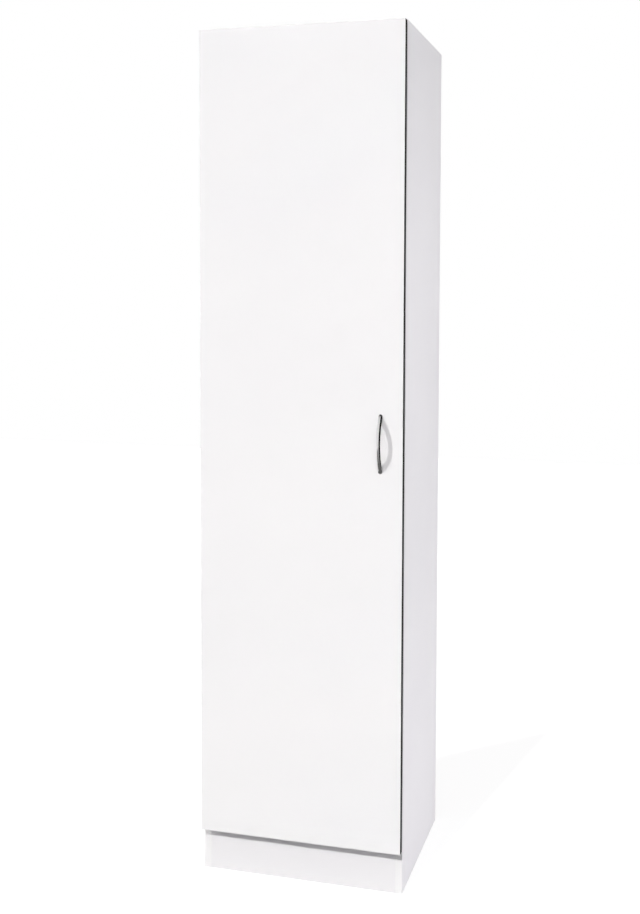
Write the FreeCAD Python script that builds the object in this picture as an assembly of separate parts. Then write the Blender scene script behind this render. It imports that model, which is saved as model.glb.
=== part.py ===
import FreeCAD, Part
import math
import os

# A tall broom cupboard in melamine-faced board: one full-overlay door on single-pivot cup hinges.
# Millimetres. X runs to the right, Y to the back and Z up, seen from in front of the door.
# The origin lies on the floor, in the middle of the overall width and depth.

# Cupboard
cupboard_width = 490.0
cupboard_height = 2000.0
carcass_depth = 400.0
board = 16.0
board_edge_round = 0.3
plinth_height = 100.0
upper_space_height = 334.0
rail_height = 90.0
shelf_play = 1.0
shelf_front_setback = 20.0
fixed_shelf_setback = 2.0
board_to_back_play = 0.4

# Back, two hardboard sheets in a groove, joined by an H-strip
back_board = 3.0
back_recess = 10.0
groove_depth = 6.0
groove_play = 0.2
back_edge_play = 0.5
lower_back_height = 899.0
strip_web = 1.6
strip_leaf = 1.2
strip_overlap = 10.0
strip_play = 0.1

# Door
door_board = 18.0
door_gap = 3.4
door_side_inset = 0.7
door_top_inset = 1.9
door_plinth_gap = 1.6
lipping_depth = 1.0
band_thickness = 0.8
door_edge_round = 0.5

# Board joints: cams, cam bolts and dowels
cam_radius = 7.5
cam_height = 12.5
cam_pocket_depth = 13.0
cam_from_end = 34.0
cam_play = 0.15
cam_slot_width = 7.4
cam_cross_length = 6.0
cam_cross_width = 1.2
cam_cross_depth = 2.0
bolt_bore_radius = 4.0
bolt_thread_radius = 2.5
bolt_thread_length = 11.0
bolt_stem_radius = 3.4
bolt_stem_length = 22.0
bolt_neck_radius = 1.9
bolt_neck_length = 7.5
bolt_head_radius = 3.1
bolt_head_length = 3.5
joint_from_edge = 50.0
dowel_offset = 32.0
dowel_radius = 4.0
dowel_length = 30.0
dowel_in_side = 12.0
hole_play = 0.05
hole_bottom_play = 0.5
cap_radius = 8.5
cap_thickness = 1.0
cap_bevel = 0.5

# Shelf pins in rows of holes
pin_hole_radius = 2.5
pin_hole_depth = 10.0
pin_row_pitch = 32.0
pin_row_count = 5
pin_column_inset = 37.0
pin_shank_length = 8.0
pin_head_radius = 4.0
pin_head_length = 8.0
pin_flat_height = 2.5

# Plinth blocks behind the plinth corners
block_leg = 18.0
block_wall = 4.0
block_height = 40.0
block_drop = 20.0

# Wood screws
screw_radius = 1.75
screw_head_radius = 3.6
screw_head_height = 2.0
screw_recess_width = 0.9
screw_recess_depth = 1.0

# Single-pivot cup hinges
hinge_count = 4
hinge_end_distance = 110.0
cup_radius = 17.5
cup_edge_distance = 3.8
cup_depth = 13.5
cup_wall = 0.8
cup_play = 0.1
flange_thickness = 1.2
flange_radius = 19.3
flange_ear_radius = 5.5
cup_screw_spacing = 52.0
cup_screw_offset = 5.5
cup_screw_length = 11.0
flange_notch_play = 1.5
knuckle_edge_distance = 8.2
knuckle_depth = 10.0
knuckle_radius = 2.3
knuckle_width = 11.0
hinge_pin_radius = 1.3
hinge_pin_play = 0.05
hinge_pin_length = 18.6
cheek_play = 0.3
cheek_front = 2.6
cheek_side = 3.4
arm_thickness = 1.8
arm_bend_radius = 3.2
arm_side_wall = 1.2
arm_side_play = 0.3
arm_side_drop = 6.0
arm_corner_round = 3.6
arm_start = 6.0
arm_end = 64.0
arm_flare_start = -1.0
arm_rib_width = 4.0
arm_rib_rise = 0.6
plate_height = 7.0
plate_width = 12.0
plate_ridge_round = 1.0
plate_start = 22.0
plate_end = 61.0
wing_thickness = 2.0
wing_width = 17.0
plate_screw_setback = 37.0
plate_screw_spacing = 32.0
wing_end_radius = 8.5
euro_screw_radius = 2.5
euro_screw_length = 11.0
euro_head_radius = 4.6
euro_head_height = 2.2
adjust_screw_setback = 29.0
fixing_screw_setback = 53.0
arm_screw_radius = 2.2
arm_screw_head_radius = 3.8
arm_screw_head_height = 1.8
arm_screw_depth = 6.0

# Bow handle
handle_height = 1050.0
handle_from_edge = 51.9
handle_projection = 21.0
handle_length = 136.0
handle_hole_spacing = 112.0
handle_foot_length = 18.0
handle_middle_thickness = 5.0
handle_width = 10.0
handle_front_round = 2.4
handle_back_round = 1.4
handle_screw_radius = 2.0
handle_screw_grip = 4.0
handle_screw_clearance = 0.5
handle_screw_head_radius = 4.0
handle_screw_head_height = 2.2

# Door buffers and magnetic catch
buffer_radius = 5.0
buffer_round = 2.0
stop_play = 0.3
buffer_end_distance = 40.0
catch_height = 1050.0
catch_length = 46.0
catch_depth = 16.0
catch_foot = 2.0
catch_body_length = 26.0
catch_body_width = 13.0
catch_body_round = 1.5
magnet_length = 18.0
magnet_width = 7.0
magnet_depth = 8.0
magnet_play = 0.1
catch_screw_spacing = 36.0
strike_length = 38.0
strike_width = 12.0
strike_thickness = 1.2
strike_corner_round = 5.0
strike_screw_spacing = 26.0
small_screw_length = 9.0

# Wall brackets in the top compartment
bracket_leg = 32.0
bracket_thickness = 2.0
bracket_height = 40.0
bracket_drop = 12.0
bracket_bend_radius = 3.0
bracket_corner_round = 5.0
wall_hole_radius = 3.25
wall_hole_clearance = 0.6
bracket_screw_spacing = 20.0
bracket_screw_length = 12.0

# Broom hooks on the rail
hook_count = 3
hook_pitch = 120.0
hook_plate_width = 16.0
hook_plate_height = 46.0
hook_plate_thickness = 1.5
hook_plate_round = 7.5
hook_wire_radius = 2.2
hook_knob_radius = 3.1
hook_reach = 30.0
hook_rise = 14.0
hook_bend_radius = 7.0
hook_screw_spacing = 30.0

# Positions worked out from the sizes above
overall_depth = carcass_depth + door_gap + door_board + handle_projection
y_back = overall_depth / 2
y_front = y_back - carcass_depth
x_left = -cupboard_width / 2
x_right = cupboard_width / 2
inner_left = x_left + board
inner_right = x_right - board
top_underside = cupboard_height - board
bottom_top = plinth_height + board
hat_shelf_top = top_underside - upper_space_height
hat_shelf_underside = hat_shelf_top - board
back_rear = y_back - back_recess
back_front = back_rear - back_board
back_bottom = bottom_top - groove_depth + back_edge_play
back_joint_height = back_bottom + lower_back_height + strip_web / 2
shelf_rear = back_front - board_to_back_play
door_back = y_front - door_gap
door_front = door_back - door_board
door_left = x_left + door_side_inset
door_right = x_right - door_side_inset
door_bottom = plinth_height + door_plinth_gap
door_top = cupboard_height - door_top_inset
rail_front = shelf_rear - board
rail_bottom = hat_shelf_underside - rail_height
pivot_x = door_left + knuckle_edge_distance
pivot_y = door_back - knuckle_depth
cup_x = door_left + cup_edge_distance + cup_radius
handle_x = door_right - handle_from_edge
pin_rear_column = shelf_rear - pin_column_inset
pin_front_column = y_front + pin_column_inset

axis_x = FreeCAD.Vector(1, 0, 0)
axis_y = FreeCAD.Vector(0, 1, 0)
axis_z = FreeCAD.Vector(0, 0, 1)
cut_overrun = 1.0
same_place = 0.01


def point(x, y, z):
    return FreeCAD.Vector(x, y, z)


def block(low, high):
    size = high - low
    return Part.makeBox(size.x, size.y, size.z, low)


def rod(radius, length, start, direction):
    return Part.makeCylinder(radius, length, start, direction)


def rounded(shape, radius, wanted):
    """Fillet the edges that the test picks out."""
    edges = [edge for edge in shape.Edges if wanted(edge)]
    return shape.makeFillet(radius, edges)


def along(edge, direction):
    """True for a straight edge parallel to the direction."""
    if not isinstance(edge.Curve, Part.Line):
        return False
    return abs(abs(edge.Curve.Direction.dot(direction)) - 1) < 1e-6


def eased_board(low, high):
    """A board with all its arrises eased."""
    plain = block(low, high)
    return plain.makeFillet(board_edge_round, plain.Edges)


def turned(steps, start, direction):
    """A turned piece from (radius, length) steps, starting at a point and going in a direction."""
    outline = [point(0, 0, 0)]
    reach = 0.0
    for radius, length in steps:
        outline.append(point(radius, 0, reach))
        reach += length
        outline.append(point(radius, 0, reach))
    outline.append(point(0, 0, reach))
    face = Part.Face(Part.makePolygon(outline + [outline[0]]))
    solid = face.revolve(point(0, 0, 0), axis_z, 360)
    solid.Placement = FreeCAD.Placement(start, FreeCAD.Rotation(axis_z, direction))
    return solid


def screw(seat, direction, shank_radius, length, head_radius, head_height):
    """A slotted pan-head screw whose head sits on the seat; the shank goes in the direction."""
    steps = [(head_radius, head_height), (shank_radius, length)]
    body = turned(steps, seat - direction * head_height, direction)
    slot = Part.makeBox(2 * head_radius, screw_recess_width, screw_recess_depth,
                        point(-head_radius, -screw_recess_width / 2, 0))
    slot.Placement = FreeCAD.Placement(seat - direction * head_height,
                                       FreeCAD.Rotation(axis_z, direction)).multiply(slot.Placement)
    return body.cut(slot)


def wood_screw(seat, direction, length):
    return screw(seat, direction, screw_radius, length, screw_head_radius, screw_head_height)


def pilot(seat, direction, shank_radius, length):
    """The hole for a screw's shank."""
    return rod(shank_radius + hole_play, length + hole_bottom_play, seat, direction)


def group(solids):
    return Part.makeCompound(solids)


# Board joints. Each board end has a cam joint and a dowel joint near both long edges.

def end_signs():
    """The left and right ends: where the side panel's inner face is, and the way out of the board."""
    return [(inner_left, -1), (inner_right, 1)]


def board_joint_rows():
    """Y of each cam joint and of the dowel beside it, for boards as deep as the carcass."""
    front = y_front + joint_from_edge
    rear = y_back - joint_from_edge - back_recess
    return [(front, front + dowel_offset), (rear, rear - dowel_offset)]


def shelf_boards():
    """Undersides of the boards that are held by cams and dowels."""
    return [top_underside, plinth_height, hat_shelf_underside]


def cam_joint_places():
    """Face, way out, Y, mid-height Z and the way the cam's pocket opens, for every cam joint."""
    places = []
    for face, out in end_signs():
        for underside in shelf_boards():
            for cam_y, dowel_y in board_joint_rows():
                places.append((face, out, cam_y, underside + board / 2, -axis_z))
        rail_middle = (rail_front + shelf_rear) / 2
        places.append((face, out, rail_middle, rail_bottom + rail_height / 4, axis_y))
    return places


def dowel_places():
    """Face, way out, Y and Z for every dowel."""
    places = []
    for face, out in end_signs():
        for underside in shelf_boards():
            for cam_y, dowel_y in board_joint_rows():
                places.append((face, out, dowel_y, underside + board / 2))
        rail_middle = (rail_front + shelf_rear) / 2
        places.append((face, out, rail_middle, rail_bottom + rail_height * 3 / 4))
        plinth_middle = y_front + board / 2
        for share in (1, 3):
            places.append((face, out, plinth_middle, plinth_height * share / 4))
    return places


def cam_centre(place):
    face, out, y, z, opening = place
    return point(face - out * cam_from_end, y, z)


def cam_pocket(place):
    """The round pocket for the cam and the bore from the board's end to it."""
    face, out, y, z, opening = place
    mouth = cam_centre(place) + opening * (board / 2)
    pocket = rod(cam_radius, cam_pocket_depth, mouth, -opening)
    bore = rod(bolt_bore_radius, cam_from_end, point(face, y, z), axis_x * -out)
    return [pocket, bore]


def cam_lock(place):
    """A cam with the hollow for the bolt's head and a cross recess in its face."""
    face, out, y, z, opening = place
    centre = cam_centre(place)
    radius = cam_radius - cam_play
    mouth = centre + opening * (board / 2)
    body = rod(radius, cam_height, mouth, -opening)
    half = cam_slot_width / 2
    hollow = Part.makeBox(radius + half, cam_slot_width, cam_slot_width, point(-half, -half, -half))
    if out < 0:
        hollow = hollow.mirror(point(0, 0, 0), axis_x)
    hollow.translate(centre)
    solid = body.cut(hollow)
    long_side = cam_cross_length / 2
    short_side = cam_cross_width / 2
    across = opening.cross(axis_x)
    for first, second in ((long_side, short_side), (short_side, long_side)):
        corner = mouth - axis_x * first - across * second
        bar = Part.makeBox(2 * first, 2 * second, cam_cross_depth)
        frame = FreeCAD.Placement(corner, FreeCAD.Rotation(axis_x, across, -opening, "XYZ"))
        if frame.Rotation.multVec(axis_z).dot(-opening) < 0:
            frame.Base = corner - opening * cam_cross_depth
        if frame.Rotation.multVec(axis_y).dot(across) < 0:
            frame.Base = frame.Base + across * (2 * second)
        bar.Placement = frame
        solid = solid.cut(bar)
    return solid


def cam_bolt(place):
    """A bolt screwed into the side panel, its head in the cam's hollow."""
    face, out, y, z, opening = place
    steps = [
        (bolt_thread_radius, bolt_thread_length),
        (bolt_stem_radius, bolt_stem_length),
        (bolt_neck_radius, bolt_neck_length),
        (bolt_head_radius, bolt_head_length),
    ]
    start = point(face + out * bolt_thread_length, y, z)
    return turned(steps, start, axis_x * -out)


def dowel(place):
    face, out, y, z = place
    start = point(face + out * dowel_in_side, y, z)
    return rod(dowel_radius, dowel_length, start, axis_x * -out)


def dowel_bore(place):
    """The bores for one dowel, in the side panel and in the board's end."""
    face, out, y, z = place
    reach = dowel_in_side + hole_bottom_play
    start = point(face + out * reach, y, z)
    return rod(dowel_radius + hole_play, dowel_length + 2 * hole_bottom_play, start, axis_x * -out)


def joint_cuts(low_z, high_z, low_y=None, high_y=None):
    """Cam pockets and dowel bores of the board that lies between the given heights."""
    cuts = []
    for place in cam_joint_places():
        if low_z < place[3] < high_z and (low_y is None or low_y < place[2] < high_y):
            cuts += cam_pocket(place)
    for place in dowel_places():
        if low_z < place[3] < high_z and (low_y is None or low_y < place[2] < high_y):
            cuts.append(dowel_bore(place))
    return cuts


def cap_places():
    """Cams that show inside the cupboard: under the top panel and under the hat shelf."""
    shown = (top_underside, hat_shelf_underside)
    places = []
    for place in cam_joint_places():
        if place[4] == -axis_z and place[3] - board / 2 in shown:
            places.append(place)
    return places


def cam_cap(place):
    """A thin bevelled disc over the cam."""
    centre = cam_centre(place) - axis_z * (board / 2)
    disc = rod(cap_radius, cap_thickness, centre, -axis_z)
    rim = [edge for edge in disc.Edges if edge.BoundBox.ZMax < centre.z - cap_thickness / 2]
    return disc.makeChamfer(cap_bevel, rim)


# Carcass boards

def back_groove():
    """The slot that takes the back sheets, cut from all four boards round it."""
    low = point(inner_left - groove_depth, back_front - groove_play, bottom_top - groove_depth)
    high = point(inner_right + groove_depth, back_rear + groove_play, top_underside + groove_depth)
    return block(low, high)


def shelf_pin_rows():
    """Heights of the rows of shelf-pin holes, midway between the hat shelf and the top panel."""
    first = hat_shelf_top + upper_space_height / 2 - pin_row_pitch * (pin_row_count - 1) / 2
    return [first + row * pin_row_pitch for row in range(pin_row_count)]


def shelf_pin_row():
    """Height of the middle row, which carries the loose shelf."""
    return shelf_pin_rows()[pin_row_count // 2]


def side_panel(face, out):
    """A side panel; face is its inner face's X and out points away from the cupboard."""
    low = point(min(face, face + out * board), y_front, 0)
    high = point(max(face, face + out * board), y_back, cupboard_height)
    panel = eased_board(low, high)
    cuts = [back_groove()]
    for place in cam_joint_places():
        if place[1] == out:
            seat = point(face, place[2], place[3])
            cuts.append(pilot(seat, axis_x * out, bolt_thread_radius, bolt_thread_length))
    for place in dowel_places():
        if place[1] == out:
            cuts.append(dowel_bore(place))
    for z in shelf_pin_rows():
        for y in (pin_front_column, pin_rear_column):
            cuts.append(rod(pin_hole_radius, pin_hole_depth, point(face, y, z), axis_x * out))
    for seat, direction in bracket_screw_seats(face, out) + block_side_seats(face, out):
        cuts.append(pilot(seat, direction, screw_radius, bracket_screw_length))
    return panel.cut(cuts)


def left_side_panel():
    cuts = []
    for z in hinge_heights():
        for seat in plate_screw_seats(z):
            cuts.append(pilot(seat, -axis_x, euro_screw_radius, euro_screw_length))
    return side_panel(inner_left, -1).cut(cuts)


def right_side_panel():
    cuts = [pilot(seat, axis_x, screw_radius, small_screw_length) for seat in catch_screw_seats()]
    return side_panel(inner_right, 1).cut(cuts)


def top_panel():
    low = point(inner_left, y_front, top_underside)
    high = point(inner_right, y_back, cupboard_height)
    cuts = [back_groove()] + joint_cuts(top_underside, cupboard_height)
    return eased_board(low, high).cut(cuts)


def bottom_panel():
    low = point(inner_left, y_front, plinth_height)
    high = point(inner_right, y_back, bottom_top)
    cuts = [back_groove()] + joint_cuts(plinth_height, bottom_top)
    return eased_board(low, high).cut(cuts)


def hat_shelf():
    low = point(inner_left, y_front + fixed_shelf_setback, hat_shelf_underside)
    high = point(inner_right, shelf_rear, hat_shelf_top)
    return eased_board(low, high).cut(joint_cuts(hat_shelf_underside, hat_shelf_top))


def adjustable_shelf():
    underside = shelf_pin_row() + pin_flat_height
    low = point(inner_left + shelf_play, y_front + shelf_front_setback, underside)
    high = point(inner_right - shelf_play, shelf_rear - shelf_play, underside + board)
    return eased_board(low, high)


def shelf_pin(face, out, y):
    """A plug in the side panel's hole and a flat-topped head that carries the shelf."""
    z = shelf_pin_row()
    shank = rod(pin_hole_radius - hole_play, pin_shank_length, point(face, y, z), axis_x * out)
    head = rod(pin_head_radius, pin_head_length, point(face, y, z), axis_x * -out)
    above = block(point(face - 2 * pin_head_length, y - 2 * pin_head_radius, z + pin_flat_height),
                  point(face + 2 * pin_head_length, y + 2 * pin_head_radius, z + 2 * pin_head_radius))
    return shank.fuse(head.cut(above))


def shelf_pins():
    pins = []
    for face, out in end_signs():
        for y in (pin_front_column, pin_rear_column):
            pins.append(shelf_pin(face, out, y))
    return group(pins)


def rear_rail():
    """The rail under the hat shelf that stiffens the carcass and carries the hooks."""
    low = point(inner_left, rail_front, rail_bottom)
    high = point(inner_right, shelf_rear, hat_shelf_underside)
    cuts = joint_cuts(rail_bottom, hat_shelf_underside, rail_front, shelf_rear)
    for seat in hook_screw_seats():
        cuts.append(pilot(seat, axis_y, screw_radius, small_screw_length))
    return eased_board(low, high).cut(cuts)


def plinth_board():
    low = point(inner_left, y_front, 0)
    high = point(inner_right, y_front + board, plinth_height)
    cuts = joint_cuts(0, plinth_height, y_front, y_front + board)
    for face, out in end_signs():
        for seat, direction in block_plinth_seats(face, out):
            cuts.append(pilot(seat, direction, screw_radius, small_screw_length))
    return eased_board(low, high).cut(cuts)


# Plinth blocks: angle pieces in the corners between the plinth and the side panels

def block_middle_height():
    return plinth_height - block_drop - block_height / 2


def block_side_seats(face, out):
    """Where the block's screw into the side panel sits, and the way it goes."""
    y = y_front + board + block_wall + (block_leg - block_wall) / 2
    return [(point(face, y, block_middle_height()), axis_x * out)]


def block_plinth_seats(face, out):
    """Where the block's screw into the plinth sits, and the way it goes."""
    x = face - out * (block_wall + (block_leg - block_wall) / 2)
    return [(point(x, y_front + board, block_middle_height()), -axis_y)]


def plinth_block(face, out):
    low_z = block_middle_height() - block_height / 2
    rear = y_front + board
    outline = [
        point(face, rear, low_z),
        point(face - out * block_leg, rear, low_z),
        point(face - out * block_leg, rear + block_wall, low_z),
        point(face - out * block_wall, rear + block_wall, low_z),
        point(face - out * block_wall, rear + block_leg, low_z),
        point(face, rear + block_leg, low_z),
    ]
    angle = Part.Face(Part.makePolygon(outline + [outline[0]])).extrude(axis_z * block_height)
    for seat, direction in block_side_seats(face, out) + block_plinth_seats(face, out):
        angle = angle.cut(rod(screw_radius + hole_play, block_wall, seat, -direction))
    return angle


def plinth_blocks():
    return group([plinth_block(face, out) for face, out in end_signs()])


def plinth_block_screws():
    screws = []
    for face, out in end_signs():
        for seat, direction in block_side_seats(face, out):
            screws.append(wood_screw(seat - direction * block_wall, direction,
                                     block_wall + bracket_screw_length))
        for seat, direction in block_plinth_seats(face, out):
            screws.append(wood_screw(seat - direction * block_wall, direction,
                                     block_wall + small_screw_length))
    return group(screws)


# Back sheets and their joining strip

def back_sheet(low_z, high_z):
    low = point(inner_left - groove_depth + back_edge_play, back_front, low_z)
    high = point(inner_right + groove_depth - back_edge_play, back_rear, high_z)
    return block(low, high)


def back_panel_lower():
    return back_sheet(back_bottom, back_joint_height - strip_web / 2)


def back_panel_upper():
    high_z = top_underside + groove_depth - back_edge_play
    sheet = back_sheet(back_joint_height + strip_web / 2, high_z)
    return sheet.cut([wall_screw_hole(x) for x in wall_hole_columns()])


def back_joining_strip():
    """An H-shaped strip between the side panels that holds both sheets."""
    half = strip_overlap + strip_web / 2
    low = point(inner_left + back_edge_play, back_front - strip_play - strip_leaf, back_joint_height - half)
    high = point(inner_right - back_edge_play, back_rear + strip_play + strip_leaf, back_joint_height + half)
    body = block(low, high)
    for start, end in ((-2 * half, -strip_web / 2), (strip_web / 2, 2 * half)):
        body = body.cut(block(
            point(x_left, back_front - strip_play, back_joint_height + start),
            point(x_right, back_rear + strip_play, back_joint_height + end)))
    return body


# Wall brackets: steel angles in the rear corners under the top panel

def bracket_middle_height():
    return top_underside - bracket_drop - bracket_height / 2


def wall_hole_columns():
    """X of the two wall screws."""
    inset = bracket_thickness + (bracket_leg - bracket_thickness) / 2
    return [inner_left + inset, inner_right - inset]


def wall_screw_hole(x):
    start = point(x, back_front - board, bracket_middle_height())
    return rod(wall_hole_radius + wall_hole_clearance, 2 * board, start, axis_y)


def bracket_screw_seats(face, out):
    """Where the bracket's screws meet the side panel, and the way they go."""
    y = back_front - bracket_thickness - (bracket_leg - bracket_thickness) / 2
    middle = bracket_middle_height()
    heights = (middle - bracket_screw_spacing / 2, middle + bracket_screw_spacing / 2)
    return [(point(face, y, z), axis_x * out) for z in heights]


def wall_bracket(face, out):
    low_z = bracket_middle_height() - bracket_height / 2
    side_leg = block(
        point(min(face, face - out * bracket_thickness), back_front - bracket_leg, low_z),
        point(max(face, face - out * bracket_thickness), back_front, low_z + bracket_height))
    back_leg = block(
        point(min(face, face - out * bracket_leg), back_front - bracket_thickness, low_z),
        point(max(face, face - out * bracket_leg), back_front, low_z + bracket_height))
    angle = side_leg.fuse(back_leg).removeSplitter()
    angle = rounded(angle, bracket_bend_radius, lambda edge: along(edge, axis_z)
                    and abs(edge.Vertexes[0].X - face) < same_place
                    and abs(edge.Vertexes[0].Y - back_front) < same_place)
    angle = rounded(angle, bracket_corner_round, lambda edge: (
        along(edge, axis_x) and edge.Vertexes[0].Y < back_front - bracket_leg + same_place)
        or (along(edge, axis_y) and abs(edge.Vertexes[0].X - face + out * bracket_leg) < same_place))
    for seat, direction in bracket_screw_seats(face, out):
        angle = angle.cut(rod(screw_radius + hole_play, bracket_thickness, seat, -direction))
    wall_x = face - out * (bracket_thickness + (bracket_leg - bracket_thickness) / 2)
    hole_start = point(wall_x, back_front - bracket_thickness, bracket_middle_height())
    return angle.cut(rod(wall_hole_radius, bracket_thickness, hole_start, axis_y))


def wall_bracket_screws():
    screws = []
    for face, out in end_signs():
        for seat, direction in bracket_screw_seats(face, out):
            screws.append(wood_screw(seat - direction * bracket_thickness, direction,
                                     bracket_thickness + bracket_screw_length))
    return group(screws)


# Broom hooks

def hook_columns():
    first = -hook_pitch * (hook_count - 1) / 2
    return [first + number * hook_pitch for number in range(hook_count)]


def hook_middle_height():
    return rail_bottom + rail_height / 2


def hook_screw_seats():
    """Where each hook's two screws meet the rail."""
    seats = []
    for x in hook_columns():
        for side in (-1, 1):
            seats.append(point(x, rail_front, hook_middle_height() + side * hook_screw_spacing / 2))
    return seats


def broom_hook(x):
    """A plate with a wire peg that turns up at its end."""
    middle = hook_middle_height()
    half_width = hook_plate_width / 2
    half_height = hook_plate_height / 2
    plate = block(point(x - half_width, rail_front - hook_plate_thickness, middle - half_height),
                  point(x + half_width, rail_front, middle + half_height))
    plate = rounded(plate, hook_plate_round, lambda edge: along(edge, axis_y))
    for seat in hook_screw_seats():
        if abs(seat.x - x) < half_width:
            plate = plate.cut(rod(screw_radius + hole_play, hook_plate_thickness, seat, -axis_y))
    start = point(x, rail_front - hook_plate_thickness / 2, middle)
    corner = point(x, rail_front - hook_reach, middle)
    tip = corner + axis_z * hook_rise
    bend_start = corner + axis_y * hook_bend_radius
    bend_end = corner + axis_z * hook_bend_radius
    bow = hook_bend_radius * (1 - math.sqrt(0.5))
    bend_middle = corner + axis_y * bow + axis_z * bow
    path = Part.Wire([
        Part.LineSegment(start, bend_start).toShape(),
        Part.Arc(bend_start, bend_middle, bend_end).toShape(),
        Part.LineSegment(bend_end, tip).toShape(),
    ])
    section = Part.Wire(Part.makeCircle(hook_wire_radius, start, -axis_y))
    wire = path.makePipeShell([section], True, False)
    knob = Part.makeSphere(hook_knob_radius, tip)
    return plate.fuse([wire, knob])


def hook_screws():
    seat_offset = -axis_y * hook_plate_thickness
    return group([wood_screw(seat + seat_offset, axis_y, hook_plate_thickness + small_screw_length)
                  for seat in hook_screw_seats()])


# Door

def door_outline(inset, low_y, high_y):
    low = point(door_left + inset, low_y, door_bottom + inset)
    high = point(door_right - inset, high_y, door_top - inset)
    return block(low, high)


def band_front():
    return door_front + lipping_depth


def door_panel():
    """The door board: its front face runs to the edges and the edge band sits behind that lipping."""
    face = rounded(door_outline(0, door_front, band_front()), door_edge_round,
                   lambda edge: edge.BoundBox.YMax < door_front + lipping_depth / 2)
    panel = face.fuse(door_outline(band_thickness, door_front, door_back)).removeSplitter()
    cuts = []
    for z in hinge_heights():
        cuts.append(rod(cup_radius + cup_play, cup_depth, point(cup_x, door_back, z), -axis_y))
        for seat in cup_screw_seats(z):
            cuts.append(pilot(seat, -axis_y, screw_radius, cup_screw_length))
    for z in handle_screw_heights():
        start = point(handle_x, door_back, z)
        cuts.append(rod(handle_screw_radius + handle_screw_clearance, door_board, start, -axis_y))
    for seat in strike_screw_seats():
        cuts.append(pilot(seat, -axis_y, screw_radius, small_screw_length))
    return panel.cut(cuts)


def door_edge_band():
    outer = door_outline(0, band_front(), door_back)
    return outer.cut(door_outline(band_thickness, door_front, door_back + board))


def buffer_heights():
    return [door_bottom + buffer_end_distance, door_top - buffer_end_distance]


def door_buffer(z):
    """A soft dome stuck to the door where it meets the side panel's edge."""
    thickness = door_gap - stop_play
    body = rod(buffer_radius, thickness, point(x_right - board / 2, door_back, z), axis_y)
    return rounded(body, buffer_round, lambda edge: edge.BoundBox.YMin > door_back + thickness / 2)


# Bow handle

def handle_screw_heights():
    return [handle_height - handle_hole_spacing / 2, handle_height + handle_hole_spacing / 2]


def bow_arc(half_span, rise):
    """The arc across the handle's side view: foot, crown and foot points."""
    low = point(0, door_front, handle_height - half_span)
    crown = point(0, door_front - rise, handle_height)
    high = point(0, door_front, handle_height + half_span)
    return low, crown, high


def handle_outline():
    """The handle's front view, a bar with half-round ends, as a prism that stands on the door."""
    side = handle_width / 2
    reach = handle_length / 2 - side
    bar = block(point(handle_x - side, door_front - handle_projection, handle_height - reach),
                point(handle_x + side, door_front, handle_height + reach))
    ends = [rod(side, handle_projection, point(handle_x, door_front, handle_height + z), -axis_y)
            for z in (-reach, reach)]
    return bar.fuse(ends).removeSplitter()


def bow_handle():
    """A bow with a crescent side view and rounded section, standing on two feet with half-round ends."""
    half = handle_length / 2
    outer = bow_arc(half, handle_projection)
    inner = bow_arc(half - handle_foot_length, handle_projection - handle_middle_thickness)
    wire = Part.Wire([
        Part.Arc(*outer).toShape(),
        Part.LineSegment(outer[2], inner[2]).toShape(),
        Part.Arc(inner[2], inner[1], inner[0]).toShape(),
        Part.LineSegment(inner[0], outer[0]).toShape(),
    ])
    bow = Part.Face(wire).extrude(axis_x * handle_width)
    bow.translate(point(handle_x - handle_width / 2, 0, 0))
    middle_y = door_front - handle_projection + handle_middle_thickness / 2
    bow = rounded(bow, handle_front_round, lambda edge: isinstance(edge.Curve, Part.Circle)
                  and edge.BoundBox.YMin < middle_y)
    inner_crown = door_front - handle_projection + handle_middle_thickness
    bow = rounded(bow, handle_back_round, lambda edge: isinstance(edge.Curve, Part.Circle)
                  and abs(edge.BoundBox.YMin - inner_crown) < same_place)
    holes = [rod(handle_screw_radius + hole_play, handle_screw_grip + hole_bottom_play,
                 point(handle_x, door_front, z), -axis_y) for z in handle_screw_heights()]
    return bow.common(handle_outline()).cut(holes)


def handle_screws():
    screws = []
    for z in handle_screw_heights():
        screws.append(screw(point(handle_x, door_back, z), -axis_y, handle_screw_radius,
                            door_board + handle_screw_grip, handle_screw_head_radius,
                            handle_screw_head_height))
    return group(screws)


# Magnetic catch

def catch_front():
    """Y of the catch's front, just clear of the closed strike plate."""
    return door_back + strike_thickness + stop_play


def catch_middle_x():
    return inner_right - catch_body_width / 2


def catch_screw_seats():
    y = catch_front() + catch_depth / 2 + board / 4
    return [point(inner_right, y, catch_height + side * catch_screw_spacing / 2) for side in (-1, 1)]


def catch_block(half_length, width, depth, start_y):
    """A block in the catch, on the side panel's inner face when width is its full width."""
    return block(point(inner_right - width, start_y, catch_height - half_length),
                 point(inner_right, start_y + depth, catch_height + half_length))


def magnet_block(play):
    half_width = magnet_width / 2 + play
    half_length = magnet_length / 2 + play
    return block(
        point(catch_middle_x() - half_width, catch_front(), catch_height - half_length),
        point(catch_middle_x() + half_width, catch_front() + magnet_depth + play, catch_height + half_length))


def magnet_catch():
    foot_start = catch_front() + catch_depth / 4
    foot = catch_block(catch_length / 2, catch_foot, catch_depth * 3 / 4, foot_start)
    body = catch_block(catch_body_length / 2, catch_body_width, catch_depth, catch_front())
    body = rounded(body, catch_body_round,
                   lambda edge: along(edge, axis_y) and edge.Vertexes[0].X < inner_right - same_place)
    housing = foot.fuse(body).removeSplitter().cut(magnet_block(magnet_play))
    holes = [rod(screw_radius + hole_play, catch_foot, seat, -axis_x) for seat in catch_screw_seats()]
    return housing.cut(holes)


def magnet_catch_screws():
    return group([wood_screw(seat - axis_x * catch_foot, axis_x, catch_foot + small_screw_length)
                  for seat in catch_screw_seats()])


def strike_screw_seats():
    return [point(catch_middle_x(), door_back, catch_height + side * strike_screw_spacing / 2)
            for side in (-1, 1)]


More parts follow.
